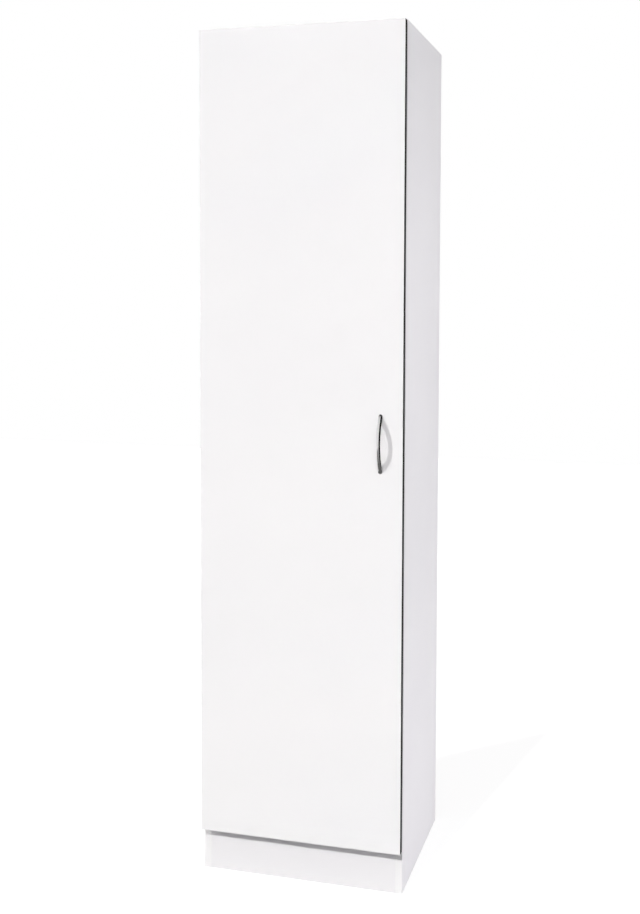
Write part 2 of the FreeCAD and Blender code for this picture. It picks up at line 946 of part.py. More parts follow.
def strike_plate():
    half_width = strike_width / 2
    half_length = strike_length / 2
    low = point(catch_middle_x() - half_width, door_back, catch_height - half_length)
    high = point(catch_middle_x() + half_width, door_back + strike_thickness, catch_height + half_length)
    plate = block(low, high)
    plate = rounded(plate, strike_corner_round, lambda edge: along(edge, axis_y))
    holes = [rod(screw_head_radius, strike_thickness, seat, axis_y) for seat in strike_screw_seats()]
    return plate.cut(holes)


def strike_plate_screws():
    """Flat heads, flush in the strike plate."""
    screws = []
    for seat in strike_screw_seats():
        screws.append(screw(seat, -axis_y, screw_radius, small_screw_length,
                            screw_head_radius - hole_play, strike_thickness))
    return group(screws)


# Single-pivot cup hinges. Each is made at its own height.

def hinge_heights():
    first = door_bottom + hinge_end_distance
    pitch = (door_top - hinge_end_distance - first) / (hinge_count - 1)
    return [first + number * pitch for number in range(hinge_count)]


def cup_screw_seats(z):
    return [point(cup_x + cup_screw_offset, door_back, z + side * cup_screw_spacing / 2)
            for side in (-1, 1)]


def hinge_cup(z):
    """The cup in the door: a round pot with a screwed flange and two cheeks that hold the pin."""
    mouth = point(cup_x, door_back, z)
    flange = rod(flange_radius, flange_thickness, mouth, axis_y)
    ear_x = cup_x + cup_screw_offset
    bar = block(point(ear_x - flange_ear_radius, door_back, z - cup_screw_spacing / 2),
                point(ear_x + flange_ear_radius, door_back + flange_thickness, z + cup_screw_spacing / 2))
    ears = [rod(flange_ear_radius, flange_thickness, seat, axis_y) for seat in cup_screw_seats(z)]
    pot = rod(cup_radius, cup_depth, mouth, -axis_y)
    pot = rounded(pot, cup_wall, lambda edge: edge.BoundBox.YMax < door_back - cup_depth / 2)
    body = flange.fuse([bar] + ears + [pot])
    inner_radius = cup_radius - cup_wall
    hollow = rod(inner_radius, cup_depth - cup_wall + flange_thickness,
                 point(cup_x, door_back + flange_thickness, z), -axis_y)
    body = body.cut(hollow)
    cheek_start = knuckle_width / 2 + cheek_play
    cheeks = []
    for side in (-1, 1):
        low_z = min(side * cheek_start, side * cup_radius) + z
        high_z = max(side * cheek_start, side * cup_radius) + z
        cheeks.append(block(point(door_left, door_back - cup_depth + cup_wall / 2, low_z),
                            point(pivot_x + cheek_side, pivot_y + cheek_front, high_z)))
    inside_pot = rod(inner_radius + cup_wall / 2, cup_depth, mouth, -axis_y)
    cheeks = [cheek.common(inside_pot) for cheek in cheeks]
    body = body.fuse(cheeks)
    notch_half = knuckle_width / 2 + flange_notch_play
    notch = block(point(door_left - board, door_back, z - notch_half),
                  point(cup_x - cup_radius / 2, door_back + 2 * flange_thickness, z + notch_half))
    body = body.cut(notch)
    body = body.cut(hinge_pin_bore(z))
    holes = [rod(screw_radius + hole_play, flange_thickness, seat, axis_y)
             for seat in cup_screw_seats(z)]
    return body.cut(holes)


def hinge_pin_bore(z):
    start = point(pivot_x, pivot_y, z - hinge_pin_length / 2)
    return rod(hinge_pin_radius, hinge_pin_length, start, axis_z)


def hinge_pin(z):
    return hinge_pin_bore(z)


def arm_outer():
    """X of the arm's outer face."""
    return inner_left + plate_height + arm_thickness


def neck_outline():
    """Side view of the neck: along the cup's floor from the knuckle, then out of the cup."""
    floor_y = pivot_y - knuckle_radius
    outer = arm_outer()
    inner = outer - arm_thickness
    inner_bend = arm_bend_radius - arm_thickness
    reach = y_front + arm_start
    start = point(pivot_x, floor_y, 0)
    outer_centre = point(outer - arm_bend_radius, floor_y + arm_bend_radius, 0)
    diagonal = point(math.sqrt(0.5), -math.sqrt(0.5), 0)
    outer_arc = [outer_centre - axis_y * arm_bend_radius, outer_centre + diagonal * arm_bend_radius,
                 outer_centre + axis_x * arm_bend_radius]
    inner_arc = [outer_centre + axis_x * inner_bend, outer_centre + diagonal * inner_bend,
                 outer_centre - axis_y * inner_bend]
    end_outer = point(outer, reach, 0)
    end_inner = point(inner, reach, 0)
    end_start = point(pivot_x, floor_y + arm_thickness, 0)
    return Part.Wire([
        Part.LineSegment(start, outer_arc[0]).toShape(),
        Part.Arc(*outer_arc).toShape(),
        Part.LineSegment(outer_arc[2], end_outer).toShape(),
        Part.LineSegment(end_outer, end_inner).toShape(),
        Part.LineSegment(end_inner, inner_arc[0]).toShape(),
        Part.Arc(*inner_arc).toShape(),
        Part.LineSegment(inner_arc[2], end_start).toShape(),
        Part.LineSegment(end_start, start).toShape(),
    ])


def hinge_arm(z):
    """The arm: a knuckle round the pin, a bent neck and a channel over the mounting plate."""
    half = knuckle_width / 2
    neck = Part.Face(neck_outline()).extrude(axis_z * knuckle_width)
    neck.translate(point(0, 0, z - half))
    knuckle = rod(knuckle_radius, knuckle_width, point(pivot_x, pivot_y, z - half), axis_z)
    channel_half = plate_width / 2 + arm_side_play + arm_side_wall
    outer = arm_outer()
    start = y_front + arm_start
    end = y_front + arm_end
    channel = block(point(outer - arm_side_drop, start, z - channel_half),
                    point(outer, end, z + channel_half))
    channel = rounded(channel, arm_side_wall, lambda edge: along(edge, axis_y)
                      and edge.Vertexes[0].X > outer - same_place)
    trough_half = channel_half - arm_side_wall
    channel = channel.cut(block(point(inner_left, start - cut_overrun, z - trough_half),
                                point(outer - arm_thickness, end + cut_overrun, z + trough_half)))
    channel = rounded(channel, arm_corner_round, lambda edge: along(edge, axis_z)
                      and edge.Vertexes[0].X < outer - arm_side_drop + same_place)
    flare_start = y_front + arm_flare_start
    corners = [
        point(outer, flare_start, z - half),
        point(outer, start, z - channel_half + arm_side_wall),
        point(outer, start, z + channel_half - arm_side_wall),
        point(outer, flare_start, z + half),
    ]
    flare = Part.Face(Part.makePolygon(corners + [corners[0]])).extrude(axis_x * -arm_thickness)
    arm = neck.fuse([knuckle, channel, flare, neck_rib(z)]).removeSplitter()
    bore = rod(hinge_pin_radius + hinge_pin_play, knuckle_width + 2 * cut_overrun,
               point(pivot_x, pivot_y, z - half - cut_overrun), axis_z)
    screw_holes = [rod(arm_screw_radius + hole_play, arm_thickness + 2 * cut_overrun,
                       seat - axis_x * (arm_thickness + cut_overrun), axis_x)
                   for seat in arm_screw_seats(z)]
    return arm.cut([bore] + screw_holes)


def neck_rib(z):
    """The stiffening rib pressed into the neck, from the cup's mouth to the channel."""
    start = point(arm_outer(), door_back + flange_thickness, z)
    end = point(arm_outer(), y_front + arm_start + arm_rib_width, z)
    half = arm_rib_width / 2
    ridge = [
        start + axis_z * half,
        start - axis_z * half,
        start - axis_z * (half / 2) + axis_x * arm_rib_rise,
        start + axis_z * (half / 2) + axis_x * arm_rib_rise,
    ]
    return Part.Face(Part.makePolygon(ridge + [ridge[0]])).extrude(end - start)


def arm_screw_seats(z):
    """Where the side-adjusting screw and the fixing screw sit on the arm."""
    return [point(arm_outer(), y_front + adjust_screw_setback, z),
            point(arm_outer(), y_front + fixing_screw_setback, z)]


def plate_screw_seats(z):
    return [point(inner_left, y_front + plate_screw_setback, z + side * plate_screw_spacing / 2)
            for side in (-1, 1)]


def hinge_plate(z):
    """The mounting plate: a ridge under the arm and a wing with a screw each side."""
    half = plate_width / 2
    ridge = block(point(inner_left, y_front + plate_start, z - half),
                  point(inner_left + plate_height, y_front + plate_end, z + half))
    ridge = rounded(ridge, plate_ridge_round,
                    lambda edge: along(edge, axis_z) and edge.Vertexes[0].X > inner_left + same_place)
    middle_y = y_front + plate_screw_setback
    wing = block(point(inner_left, middle_y - wing_width / 2, z - plate_screw_spacing / 2),
                 point(inner_left + wing_thickness, middle_y + wing_width / 2, z + plate_screw_spacing / 2))
    ends = [rod(wing_end_radius, wing_thickness, seat, axis_x) for seat in plate_screw_seats(z)]
    plate = ridge.fuse([wing] + ends).removeSplitter()
    holes = [rod(euro_screw_radius + hole_play, wing_thickness, seat, axis_x)
             for seat in plate_screw_seats(z)]
    for seat in arm_screw_seats(z):
        start = point(inner_left + plate_height, seat.y, seat.z)
        holes.append(rod(arm_screw_radius + hole_play, arm_screw_depth, start, -axis_x))
    return plate.cut(holes)


def hinge_cup_screws():
    screws = []
    for z in hinge_heights():
        for seat in cup_screw_seats(z):
            screws.append(wood_screw(seat + axis_y * flange_thickness, -axis_y,
                                     flange_thickness + cup_screw_length))
    return group(screws)


def hinge_plate_screws():
    screws = []
    for z in hinge_heights():
        for seat in plate_screw_seats(z):
            screws.append(screw(seat + axis_x * wing_thickness, -axis_x, euro_screw_radius,
                                wing_thickness + euro_screw_length, euro_head_radius, euro_head_height))
    return group(screws)


def hinge_arm_screws():
    length = arm_thickness + arm_screw_depth - hole_bottom_play
    screws = []
    for z in hinge_heights():
        for seat in arm_screw_seats(z):
            screws.append(screw(seat, -axis_x, arm_screw_radius, length,
                                arm_screw_head_radius, arm_screw_head_height))
    return group(screws)


pieces = {
    "left_side_panel": left_side_panel(),
    "right_side_panel": right_side_panel(),
    "top_panel": top_panel(),
    "bottom_panel": bottom_panel(),
    "hat_shelf": hat_shelf(),
    "adjustable_shelf": adjustable_shelf(),
    "shelf_pins": shelf_pins(),
    "rear_rail": rear_rail(),
    "plinth_board": plinth_board(),
    "plinth_blocks": plinth_blocks(),
    "plinth_block_screws": plinth_block_screws(),
    "back_panel_lower": back_panel_lower(),
    "back_panel_upper": back_panel_upper(),
    "back_joining_strip": back_joining_strip(),
    "cam_locks": group([cam_lock(place) for place in cam_joint_places()]),
    "cam_bolts": group([cam_bolt(place) for place in cam_joint_places()]),
    "cam_caps": group([cam_cap(place) for place in cap_places()]),
    "wood_dowels": group([dowel(place) for place in dowel_places()]),
    "wall_bracket_left": wall_bracket(inner_left, -1),
    "wall_bracket_right": wall_bracket(inner_right, 1),
    "wall_bracket_screws": wall_bracket_screws(),
    "hook_screws": hook_screws(),
    "door_panel": door_panel(),
    "door_edge_band": door_edge_band(),
    "door_buffers": group([door_buffer(z) for z in buffer_heights()]),
    "bow_handle": bow_handle(),
    "handle_screws": handle_screws(),
    "magnet_catch": magnet_catch(),
    "catch_magnet": magnet_block(0),
    "magnet_catch_screws": magnet_catch_screws(),
    "strike_plate": strike_plate(),
    "strike_plate_screws": strike_plate_screws(),
    "hinge_cup_screws": hinge_cup_screws(),
    "hinge_plate_screws": hinge_plate_screws(),
    "hinge_arm_screws": hinge_arm_screws(),
}
for number, x in enumerate(hook_columns(), 1):
    pieces["broom_hook_%d" % number] = broom_hook(x)
for number, z in enumerate(hinge_heights(), 1):
    pieces["hinge_cup_%d" % number] = hinge_cup(z)
    pieces["hinge_pin_%d" % number] = hinge_pin(z)
    pieces["hinge_arm_%d" % number] = hinge_arm(z)
    pieces["hinge_plate_%d" % number] = hinge_plate(z)

os.makedirs("parts", exist_ok=True)
for name, shape in pieces.items():
    shape.exportStep("parts/%s.step" % name)
    print(name, len(shape.Solids), shape.isValid(), round(shape.Volume, 1))
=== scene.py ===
import math
import bmesh
import bpy
from mathutils import Matrix, Vector


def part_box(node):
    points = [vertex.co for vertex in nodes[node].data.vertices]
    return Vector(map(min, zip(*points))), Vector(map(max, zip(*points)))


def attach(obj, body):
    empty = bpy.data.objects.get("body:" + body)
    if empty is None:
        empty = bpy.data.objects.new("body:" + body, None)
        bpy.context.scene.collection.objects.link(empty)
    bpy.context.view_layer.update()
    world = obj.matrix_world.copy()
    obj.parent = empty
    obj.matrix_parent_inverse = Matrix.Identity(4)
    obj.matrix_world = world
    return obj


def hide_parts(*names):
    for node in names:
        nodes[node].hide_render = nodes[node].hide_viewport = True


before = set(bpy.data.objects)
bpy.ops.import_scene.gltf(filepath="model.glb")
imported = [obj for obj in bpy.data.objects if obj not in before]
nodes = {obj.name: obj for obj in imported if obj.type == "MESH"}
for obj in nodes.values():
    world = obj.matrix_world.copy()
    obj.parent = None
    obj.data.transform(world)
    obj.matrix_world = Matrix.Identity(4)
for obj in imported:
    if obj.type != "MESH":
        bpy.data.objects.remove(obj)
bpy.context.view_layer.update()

# A broom cupboard in white melamine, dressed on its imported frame. Metres throughout.
scene = bpy.context.scene
scene.view_settings.view_transform = "Standard"
fullTurn = 2 * math.pi
print("frame loaded:", len(nodes), "nodes")


# Short calls for building node trees

def setSockets(tree, node, sockets):
    for key, value in sockets.items():
        if isinstance(value, bpy.types.NodeSocket):
            tree.links.new(value, node.inputs[key])
        else:
            node.inputs[key].default_value = value


def addNode(tree, kind, sockets=None, **settings):
    node = tree.nodes.new(kind)
    for setting, value in settings.items():
        setattr(node, setting, value)
    setSockets(tree, node, sockets or {})
    return node


def calc(tree, operation, *values):
    return addNode(tree, "ShaderNodeMath", dict(enumerate(values)), operation=operation).outputs[0]


def calcVector(tree, operation, *values):
    return addNode(tree, "ShaderNodeVectorMath", dict(enumerate(values)), operation=operation).outputs[0]


def scaleVector(tree, vector, factor):
    node = addNode(tree, "ShaderNodeVectorMath", {0: vector, "Scale": factor}, operation="SCALE")
    return node.outputs[0]


# the plain call stretches the middle of a noise to 0..1
def remap(tree, value, low=0.35, high=0.65, newLow=0.0, newHigh=1.0):
    sockets = {0: value, 1: low, 2: high, 3: newLow, 4: newHigh}
    return addNode(tree, "ShaderNodeMapRange", sockets).outputs[0]


def mixColor(tree, factor, first, second):
    sockets = {0: factor, 6: first, 7: second}
    return addNode(tree, "ShaderNodeMix", sockets, data_type="RGBA").outputs[2]


def mixValue(tree, factor, first, second):
    return addNode(tree, "ShaderNodeMix", {0: factor, 2: first, 3: second}, data_type="FLOAT").outputs[0]


# fine detail with a broader one under it
def layered(tree, fine, broad):
    return calc(tree, "ADD", calc(tree, "MULTIPLY", fine, 0.6), calc(tree, "MULTIPLY", broad, 0.4))


def split(tree, vector):
    return addNode(tree, "ShaderNodeSeparateXYZ", {0: vector}).outputs


def noise(tree, point, scale, detail=2.0, roughness=0.5):
    sockets = {"Vector": point, "Scale": scale, "Detail": detail, "Roughness": roughness}
    return addNode(tree, "ShaderNodeTexNoise", sockets).outputs


def bump(tree, height, distance):
    sockets = {"Height": height, "Distance": distance, "Strength": 1.0}
    return addNode(tree, "ShaderNodeBump", sockets).outputs["Normal"]


# A node group with named sockets; returns the tree, what comes in and where the results go
def newGroup(name, kind, inputs, outputs):
    tree = bpy.data.node_groups.new(name, kind)
    for label, (socketType, value) in inputs.items():
        socket = tree.interface.new_socket(name=label, in_out="INPUT", socket_type=socketType)
        if value is not None:
            socket.default_value = value
    for label, socketType in outputs.items():
        tree.interface.new_socket(name=label, in_out="OUTPUT", socket_type=socketType)
    return tree, tree.nodes.new("NodeGroupInput").outputs, tree.nodes.new("NodeGroupOutput").inputs


def placeGroup(tree, group, sockets):
    return addNode(tree, "ShaderNodeGroup", sockets, node_tree=group).outputs


real, count = "NodeSocketFloat", "NodeSocketInt"
threeNumbers, tint = "NodeSocketVector", "NodeSocketColor"


# Shared effects

# fine moulded or pressed grain, and a slow change of tone over the surface
def makeFineGrain():
    inputs = {"Point": (threeNumbers, None), "Scale": (real, 900.0), "Cloud Scale": (real, 3.0)}
    tree, given, result = newGroup("fineGrain", "ShaderNodeTree", inputs, {"Height": real, "Tone": real})
    grain = noise(tree, given["Point"], given["Scale"], 3.0, 0.55)[0]
    cloud = noise(tree, given["Point"], given["Cloud Scale"], 3.0, 0.5)[0]
    tree.links.new(grain, result["Height"])
    tree.links.new(cloud, result["Tone"])
    return tree


# patches where handling and wiping change the gloss
def makeSmudges():
    inputs = {"Point": (threeNumbers, None), "Scale": (real, 6.0), "Least": (real, 0.3), "Most": (real, 0.4)}
    tree, given, result = newGroup("smudges", "ShaderNodeTree", inputs, {"Roughness": real})
    patches = noise(tree, given["Point"], given["Scale"], 5.0, 0.6)[0]
    rough = remap(tree, patches, 0.32, 0.68, given["Least"], given["Most"])
    tree.links.new(rough, result["Roughness"])
    return tree


# which faces of a board carry laminate or edge band, and the glue line beside a band
def makeBoardZones():
    inputs = {
        "Point": (threeNumbers, None), "Low": (threeNumbers, None), "High": (threeNumbers, None),
        "Laid Low": (threeNumbers, None), "Laid High": (threeNumbers, None),
        "Skin": (real, 0.00036), "Band": (real, 0.0008), "Glue Line": (real, 0.00012),
    }
    tree, given, result = newGroup("boardZones", "ShaderNodeTree", inputs, {"Laid": real, "Seam": real})
    gaps = [split(tree, calcVector(tree, "SUBTRACT", given["Point"], given["Low"])),
            split(tree, calcVector(tree, "SUBTRACT", given["High"], given["Point"]))]
    laidSides = [split(tree, given["Laid Low"]), split(tree, given["Laid High"])]
    laid = seam = None
    for gap, laidSide in zip(gaps, laidSides):
        for axis in range(3):
            near = calc(tree, "LESS_THAN", gap[axis], given["Skin"])
            covered = calc(tree, "MULTIPLY", near, laidSide[axis])
            offLine = calc(tree, "ABSOLUTE", calc(tree, "SUBTRACT", gap[axis], given["Band"]))
            onLine = calc(tree, "LESS_THAN", offLine, given["Glue Line"])
            line = calc(tree, "MULTIPLY", onLine, laidSide[axis])
            laid = covered if laid is None else calc(tree, "MAXIMUM", laid, covered)
            seam = line if seam is None else calc(tree, "MAXIMUM", seam, line)
    tree.links.new(laid, result["Laid"])
    tree.links.new(seam, result["Seam"])
    return tree


# pressed wood chips, as they show in a bored hole or on an edge without a band
chips = dict(
    darkest=(0.30, 0.19, 0.105, 1), lightest=(0.66, 0.50, 0.33, 1), dust=(0.62, 0.50, 0.36, 1),
    between=((0.35, (0.46, 0.31, 0.18, 1)), (0.7, (0.58, 0.42, 0.26, 1))),
    bendScale=90.0, bendReach=0.004, dustScale=2600.0, dustMost=0.45, dustHeight=0.4,
)


def makeChipCore():
    inputs = {"Point": (threeNumbers, None), "Scale": (real, 420.0)}
    tree, given, result = newGroup("chipCore", "ShaderNodeTree", inputs, {"Color": tint, "Height": real})
    bend = noise(tree, given["Point"], chips["bendScale"])[1]
    bent = calcVector(tree, "ADD", given["Point"], scaleVector(tree, bend, chips["bendReach"]))
    cells = addNode(tree, "ShaderNodeTexVoronoi", {"Vector": bent, "Scale": given["Scale"]})
    shade = split(tree, cells.outputs["Color"])[0]
    dust = noise(tree, given["Point"], chips["dustScale"])[0]
    chipTones = addNode(tree, "ShaderNodeValToRGB", {"Fac": shade})
    ramp = chipTones.color_ramp
    ramp.elements[0].color = chips["darkest"]
    ramp.elements[1].color = chips["lightest"]
    for place, color in chips["between"]:
        ramp.elements.new(place).color = color
    covering = remap(tree, dust, 0.4, 0.75, 0.0, chips["dustMost"])
    dusted = mixColor(tree, covering, chipTones.outputs[0], chips["dust"])
    dustHeight = calc(tree, "MULTIPLY", dust, chips["dustHeight"])
    height = calc(tree, "ADD", cells.outputs["Distance"], dustHeight)
    tree.links.new(dusted, result["Color"])
    tree.links.new(height, result["Height"])
    return tree


# fine lines left by drawing, rolling or brushing metal
def makeDrawnLines():
    inputs = {"Point": (threeNumbers, None), "Stretch": (threeNumbers, (1.0, 1.0, 1.0)),
              "Scale": (real, 700.0), "Least": (real, 0.2), "Most": (real, 0.35)}
    outputs = {"Height": real, "Roughness": real, "Tone": real}
    tree, given, result = newGroup("drawnLines", "ShaderNodeTree", inputs, outputs)
    stretched = calcVector(tree, "MULTIPLY", given["Point"], given["Stretch"])
    lines = noise(tree, stretched, given["Scale"], 4.0, 0.6)[0]
    patches = noise(tree, given["Point"], 60.0, 3.0)[0]
    both = layered(tree, lines, patches)
    tree.links.new(lines, result["Height"])
    rough = remap(tree, both, newLow=given["Least"], newHigh=given["Most"])
    tree.links.new(rough, result["Roughness"])
    tree.links.new(patches, result["Tone"])
    return tree


fineGrain = makeFineGrain()
smudges = makeSmudges()
boardZones = makeBoardZones()
chipCore = makeChipCore()
drawnLines = makeDrawnLines()
print("shared effects ready")


# Materials

def newMaterial(name):
    material = bpy.data.materials.new(name)
    material.use_nodes = True
    tree = material.node_tree
    tree.nodes.clear()
    shader = addNode(tree, "ShaderNodeBsdfPrincipled")
    addNode(tree, "ShaderNodeOutputMaterial", {"Surface": shader.outputs["BSDF"]})
    point = addNode(tree, "ShaderNodeTexCoord").outputs["Object"]
    return material, tree, shader, point


melamine = dict(
    color=(0.900, 0.896, 0.900, 1), cloudColor=(0.886, 0.883, 0.890, 1), glueColor=(0.80, 0.79, 0.78, 1),
    grainScale=1100.0, grainDepth=0.00003, least=0.42, most=0.50, rawRoughness=0.85, chipDepth=0.0004,
    glueShare=0.5,
)


def melamineBoard(nodeName, laidLow, laidHigh, whiteness):
    low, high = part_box(nodeName)
    material, tree, shader, point = newMaterial("melamine_" + nodeName)
    zones = placeGroup(tree, boardZones, {"Point": point, "Low": low, "High": high,
                                          "Laid Low": laidLow, "Laid High": laidHigh})
    grain = placeGroup(tree, fineGrain, {"Point": point, "Scale": melamine["grainScale"]})
    gloss = placeGroup(tree, smudges, {"Point": point, "Least": melamine["least"], "Most": melamine["most"]})
    core = placeGroup(tree, chipCore, {"Point": point})
    cloud = remap(tree, grain["Tone"])
    tones = [[share * part for share, part in zip(whiteness, melamine[name])]
             for name in ("color", "cloudColor")]
    face = mixColor(tree, cloud, *tones)
    glued = calc(tree, "MULTIPLY", zones["Seam"], melamine["glueShare"])
    face = mixColor(tree, glued, face, melamine["glueColor"])
    height = mixValue(tree, zones["Laid"],
                      calc(tree, "MULTIPLY", core["Height"], melamine["chipDepth"]),
                      calc(tree, "MULTIPLY", grain["Height"], melamine["grainDepth"]))
    setSockets(tree, shader, {
        "Base Color": mixColor(tree, zones["Laid"], core["Color"], face),
        "Roughness": mixValue(tree, zones["Laid"], melamine["rawRoughness"], gloss["Roughness"]),
        "Normal": bump(tree, height, 1.0),
    })
    return material


# white lacquer on the front, brown fibre with the press screen's print behind
hardboard = dict(
    white=(0.86, 0.85, 0.85, 1), lightFibre=(0.40, 0.265, 0.155, 1), darkFibre=(0.25, 0.155, 0.085, 1),
    fibreScale=420.0, fibreStretch=(1.0, 1.0, 0.35), blotchScale=9.0,
    screenPitch=0.0016, screenDepth=0.00012, lacquer=0.0004,
    roughness=0.55, rawRoughness=0.8,
)


def hardboardSheet(nodeName):
    low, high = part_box(nodeName)
    material, tree, shader, point = newMaterial("hardboard_" + nodeName)
    parts = split(tree, point)
    front = calc(tree, "LESS_THAN", parts[1], low.y + hardboard["lacquer"])
    stretched = calcVector(tree, "MULTIPLY", point, hardboard["fibreStretch"])
    fibre = noise(tree, stretched, hardboard["fibreScale"], 6.0, 0.7)[0]
    blotch = noise(tree, point, hardboard["blotchScale"], 4.0, 0.6)[0]
    shade = layered(tree, fibre, blotch)
    brown = mixColor(tree, remap(tree, shade, 0.38, 0.62), hardboard["darkFibre"], hardboard["lightFibre"])
    waves = [calc(tree, "SINE", calc(tree, "MULTIPLY", parts[axis], fullTurn / hardboard["screenPitch"]))
             for axis in (0, 2)]
    screen = calc(tree, "MULTIPLY", waves[0], waves[1])
    rough = calc(tree, "MULTIPLY", calc(tree, "ADD", screen, fibre), hardboard["screenDepth"])
    smooth = calc(tree, "MULTIPLY", fibre, hardboard["screenDepth"] / 6)
    setSockets(tree, shader, {
        "Base Color": mixColor(tree, front, brown, hardboard["white"]),
        "Roughness": mixValue(tree, front, hardboard["rawRoughness"], hardboard["roughness"]),
        "Normal": bump(tree, mixValue(tree, front, rough, smooth), 1.0),
    })
    return material


# moulded plastics; every style names its colours, grain and gloss
plastics = dict(
    whiteMoulding=dict(color=(0.83, 0.825, 0.82, 1), cloudColor=(0.80, 0.795, 0.79, 1), scale=1500.0,
                       depth=0.00003, least=0.42, most=0.52),
    darkBand=dict(color=(0.012, 0.0115, 0.013, 1), cloudColor=(0.019, 0.018, 0.020, 1), scale=900.0,
                  depth=0.00004, least=0.62, most=0.74, specular=0.03),
    softDome=dict(color=(0.86, 0.88, 0.89, 1), cloudColor=(0.82, 0.84, 0.86, 1), scale=700.0,
                  depth=0.00002, least=0.22, most=0.34, transmission=0.6),
    ferrite=dict(color=(0.045, 0.045, 0.048, 1), cloudColor=(0.09, 0.09, 0.095, 1), scale=2200.0,
                 depth=0.00005, least=0.55, most=0.7, cloudScale=400.0),
)
plasticUsual = dict(cloudScale=30.0, patchScale=40.0, specular=0.5, transmission=0.0)


def mouldedPlastic(name):
    style = {**plasticUsual, **plastics[name]}
    material, tree, shader, point = newMaterial(name)
    grain = placeGroup(tree, fineGrain, {"Point": point, "Scale": style["scale"],
                                         "Cloud Scale": style["cloudScale"]})
    gloss = placeGroup(tree, smudges, {"Point": point, "Scale": style["patchScale"],
                                       "Least": style["least"], "Most": style["most"]})
    cloud = remap(tree, grain["Tone"])
    setSockets(tree, shader, {
        "Base Color": mixColor(tree, cloud, style["color"], style["cloudColor"]),
        "Roughness": gloss["Roughness"],
        "Normal": bump(tree, grain["Height"], style["depth"]),
        "Specular IOR Level": style["specular"],
        "Transmission Weight": style["transmission"],
    })
    return material


# metals; stretch is small along the lines of the brushing
metals = dict(
    satinHandle=dict(color=(0.725, 0.715, 0.712, 1), dullAndShade=(0.65, 0.64, 0.637, 1), stretch=(1.0, 1.0, 0.04),
                     scale=1600.0, depth=0.000006, least=0.09, most=0.15),
    # the cast finish of the handle's sides and back: duller cast zinc, with a near-black second tone that is
    # painted shade standing in for the dark reflections there; its shift sets where the painted dark patches
    # fall
    castHandleWithPaintedShade=dict(color=(0.46, 0.453, 0.447, 1), dullAndShade=(0.09, 0.09, 0.088, 1), stretch=(1.0, 1.0, 1.0),
                    scale=900.0, depth=0.00003, least=0.22, most=0.36, shift=(0.0, 0.0, 0.26)),
    nickelPlate=dict(color=(0.74, 0.715, 0.67, 1), dullAndShade=(0.66, 0.64, 0.60, 1), stretch=(1.0, 1.0, 1.0),
                     scale=900.0, depth=0.00001, least=0.18, most=0.30),
    zincCast=dict(color=(0.60, 0.61, 0.62, 1), dullAndShade=(0.47, 0.48, 0.49, 1), stretch=(1.0, 1.0, 1.0),
                  scale=1800.0, depth=0.00004, least=0.38, most=0.52),
    zincSheet=dict(color=(0.70, 0.715, 0.72, 1), dullAndShade=(0.58, 0.60, 0.62, 1), stretch=(1.0, 1.0, 0.1),
                   scale=1100.0, depth=0.00001, least=0.26, most=0.40),
    screwSteel=dict(color=(0.72, 0.70, 0.665, 1), dullAndShade=(0.60, 0.585, 0.56, 1), stretch=(1.0, 1.0, 1.0),
                    scale=2400.0, depth=0.00001, least=0.20, most=0.34),
    poleSteel=dict(color=(0.58, 0.575, 0.565, 1), dullAndShade=(0.48, 0.475, 0.47, 1), stretch=(1.0, 0.1, 1.0),
                   scale=1400.0, depth=0.00002, least=0.28, most=0.40),
)


def metal(name):
    style = metals[name]
    material, tree, shader, point = newMaterial(name)
    # the shift moves the pattern so the painted dark patches of the cast handle finish fall where wanted;
    # the second tone is random dull tone on the other metals and painted shade on the cast handle
    shifted = calcVector(tree, "ADD", point, style.get("shift", (0.0, 0.0, 0.0)))
    lines = placeGroup(tree, drawnLines, {
        "Point": shifted, "Stretch": style["stretch"], "Scale": style["scale"],
        "Least": style["least"], "Most": style["most"]})
    wearAndPaintedShade = remap(tree, lines["Tone"], 0.4)
    setSockets(tree, shader, {
        "Base Color": mixColor(tree, wearAndPaintedShade, style["color"], style["dullAndShade"]),
        "Metallic": 1.0,
        "Roughness": lines["Roughness"],
        "Normal": bump(tree, lines["Height"], style["depth"]),
    })
    return material


beech = dict(light=(0.62, 0.44, 0.27, 1), dark=(0.46, 0.30, 0.17, 1), stretch=(0.08, 1.0, 1.0),
             fleckScale=900.0, fleckDepth=0.00005, roughness=0.7)


def beechRod():
    material, tree, shader, point = newMaterial("beechRod")
    along = calcVector(tree, "MULTIPLY", point, beech["stretch"])
    fleck = noise(tree, along, beech["fleckScale"], 4.0, 0.6)[0]
    setSockets(tree, shader, {
        "Base Color": mixColor(tree, remap(tree, fleck), beech["light"], beech["dark"]),
        "Roughness": beech["roughness"],
        "Normal": bump(tree, fleck, beech["fleckDepth"]),
    })
    return material


def finish(nodeName, material):
    for slot in nodes[nodeName].material_slots:
        slot.material = material


finishes = {name: mouldedPlastic(name) for name in plastics}
finishes.update({name: metal(name) for name in metals})
finishes["beechRod"] = beechRod()

# laid faces of each board, as (left, front, under) and (right, rear, top)
boards = {
    "left_side_panel": ((1, 1, 0), (1, 0, 1)),
    "right_side_panel": ((1, 1, 0), (1, 0, 1)),
    "top_panel": ((0, 1, 1), (0, 0, 1)),
    "bottom_panel": ((0, 1, 1), (0, 0, 1)),
    "hat_shelf": ((0, 1, 1), (0, 0, 1)),
    "adjustable_shelf": ((1, 1, 1), (1, 0, 1)),
    "rear_rail": ((0, 1, 1), (0, 1, 0)),
    "plinth_board": ((0, 1, 0), (0, 1, 0)),
    "door_panel": ((1, 1, 1), (1, 1, 1)),
}
plainWhite = (1.0, 1.0, 1.0, 1.0)
plinthShadedWhite = (0.958, 0.954, 0.966, 1.0)    # a touch greyer and cooler than the other boards: painted shade, as the plinth is the same white board sitting in shade below the door
for boardName, (laidLow, laidHigh) in boards.items():
    whiteness = plinthShadedWhite if boardName == "plinth_board" else plainWhite
    finish(boardName, melamineBoard(boardName, laidLow, laidHigh, whiteness))
sheets = ("back_panel_lower", "back_panel_upper")
for sheetName in sheets:
    finish(sheetName, hardboardSheet(sheetName))

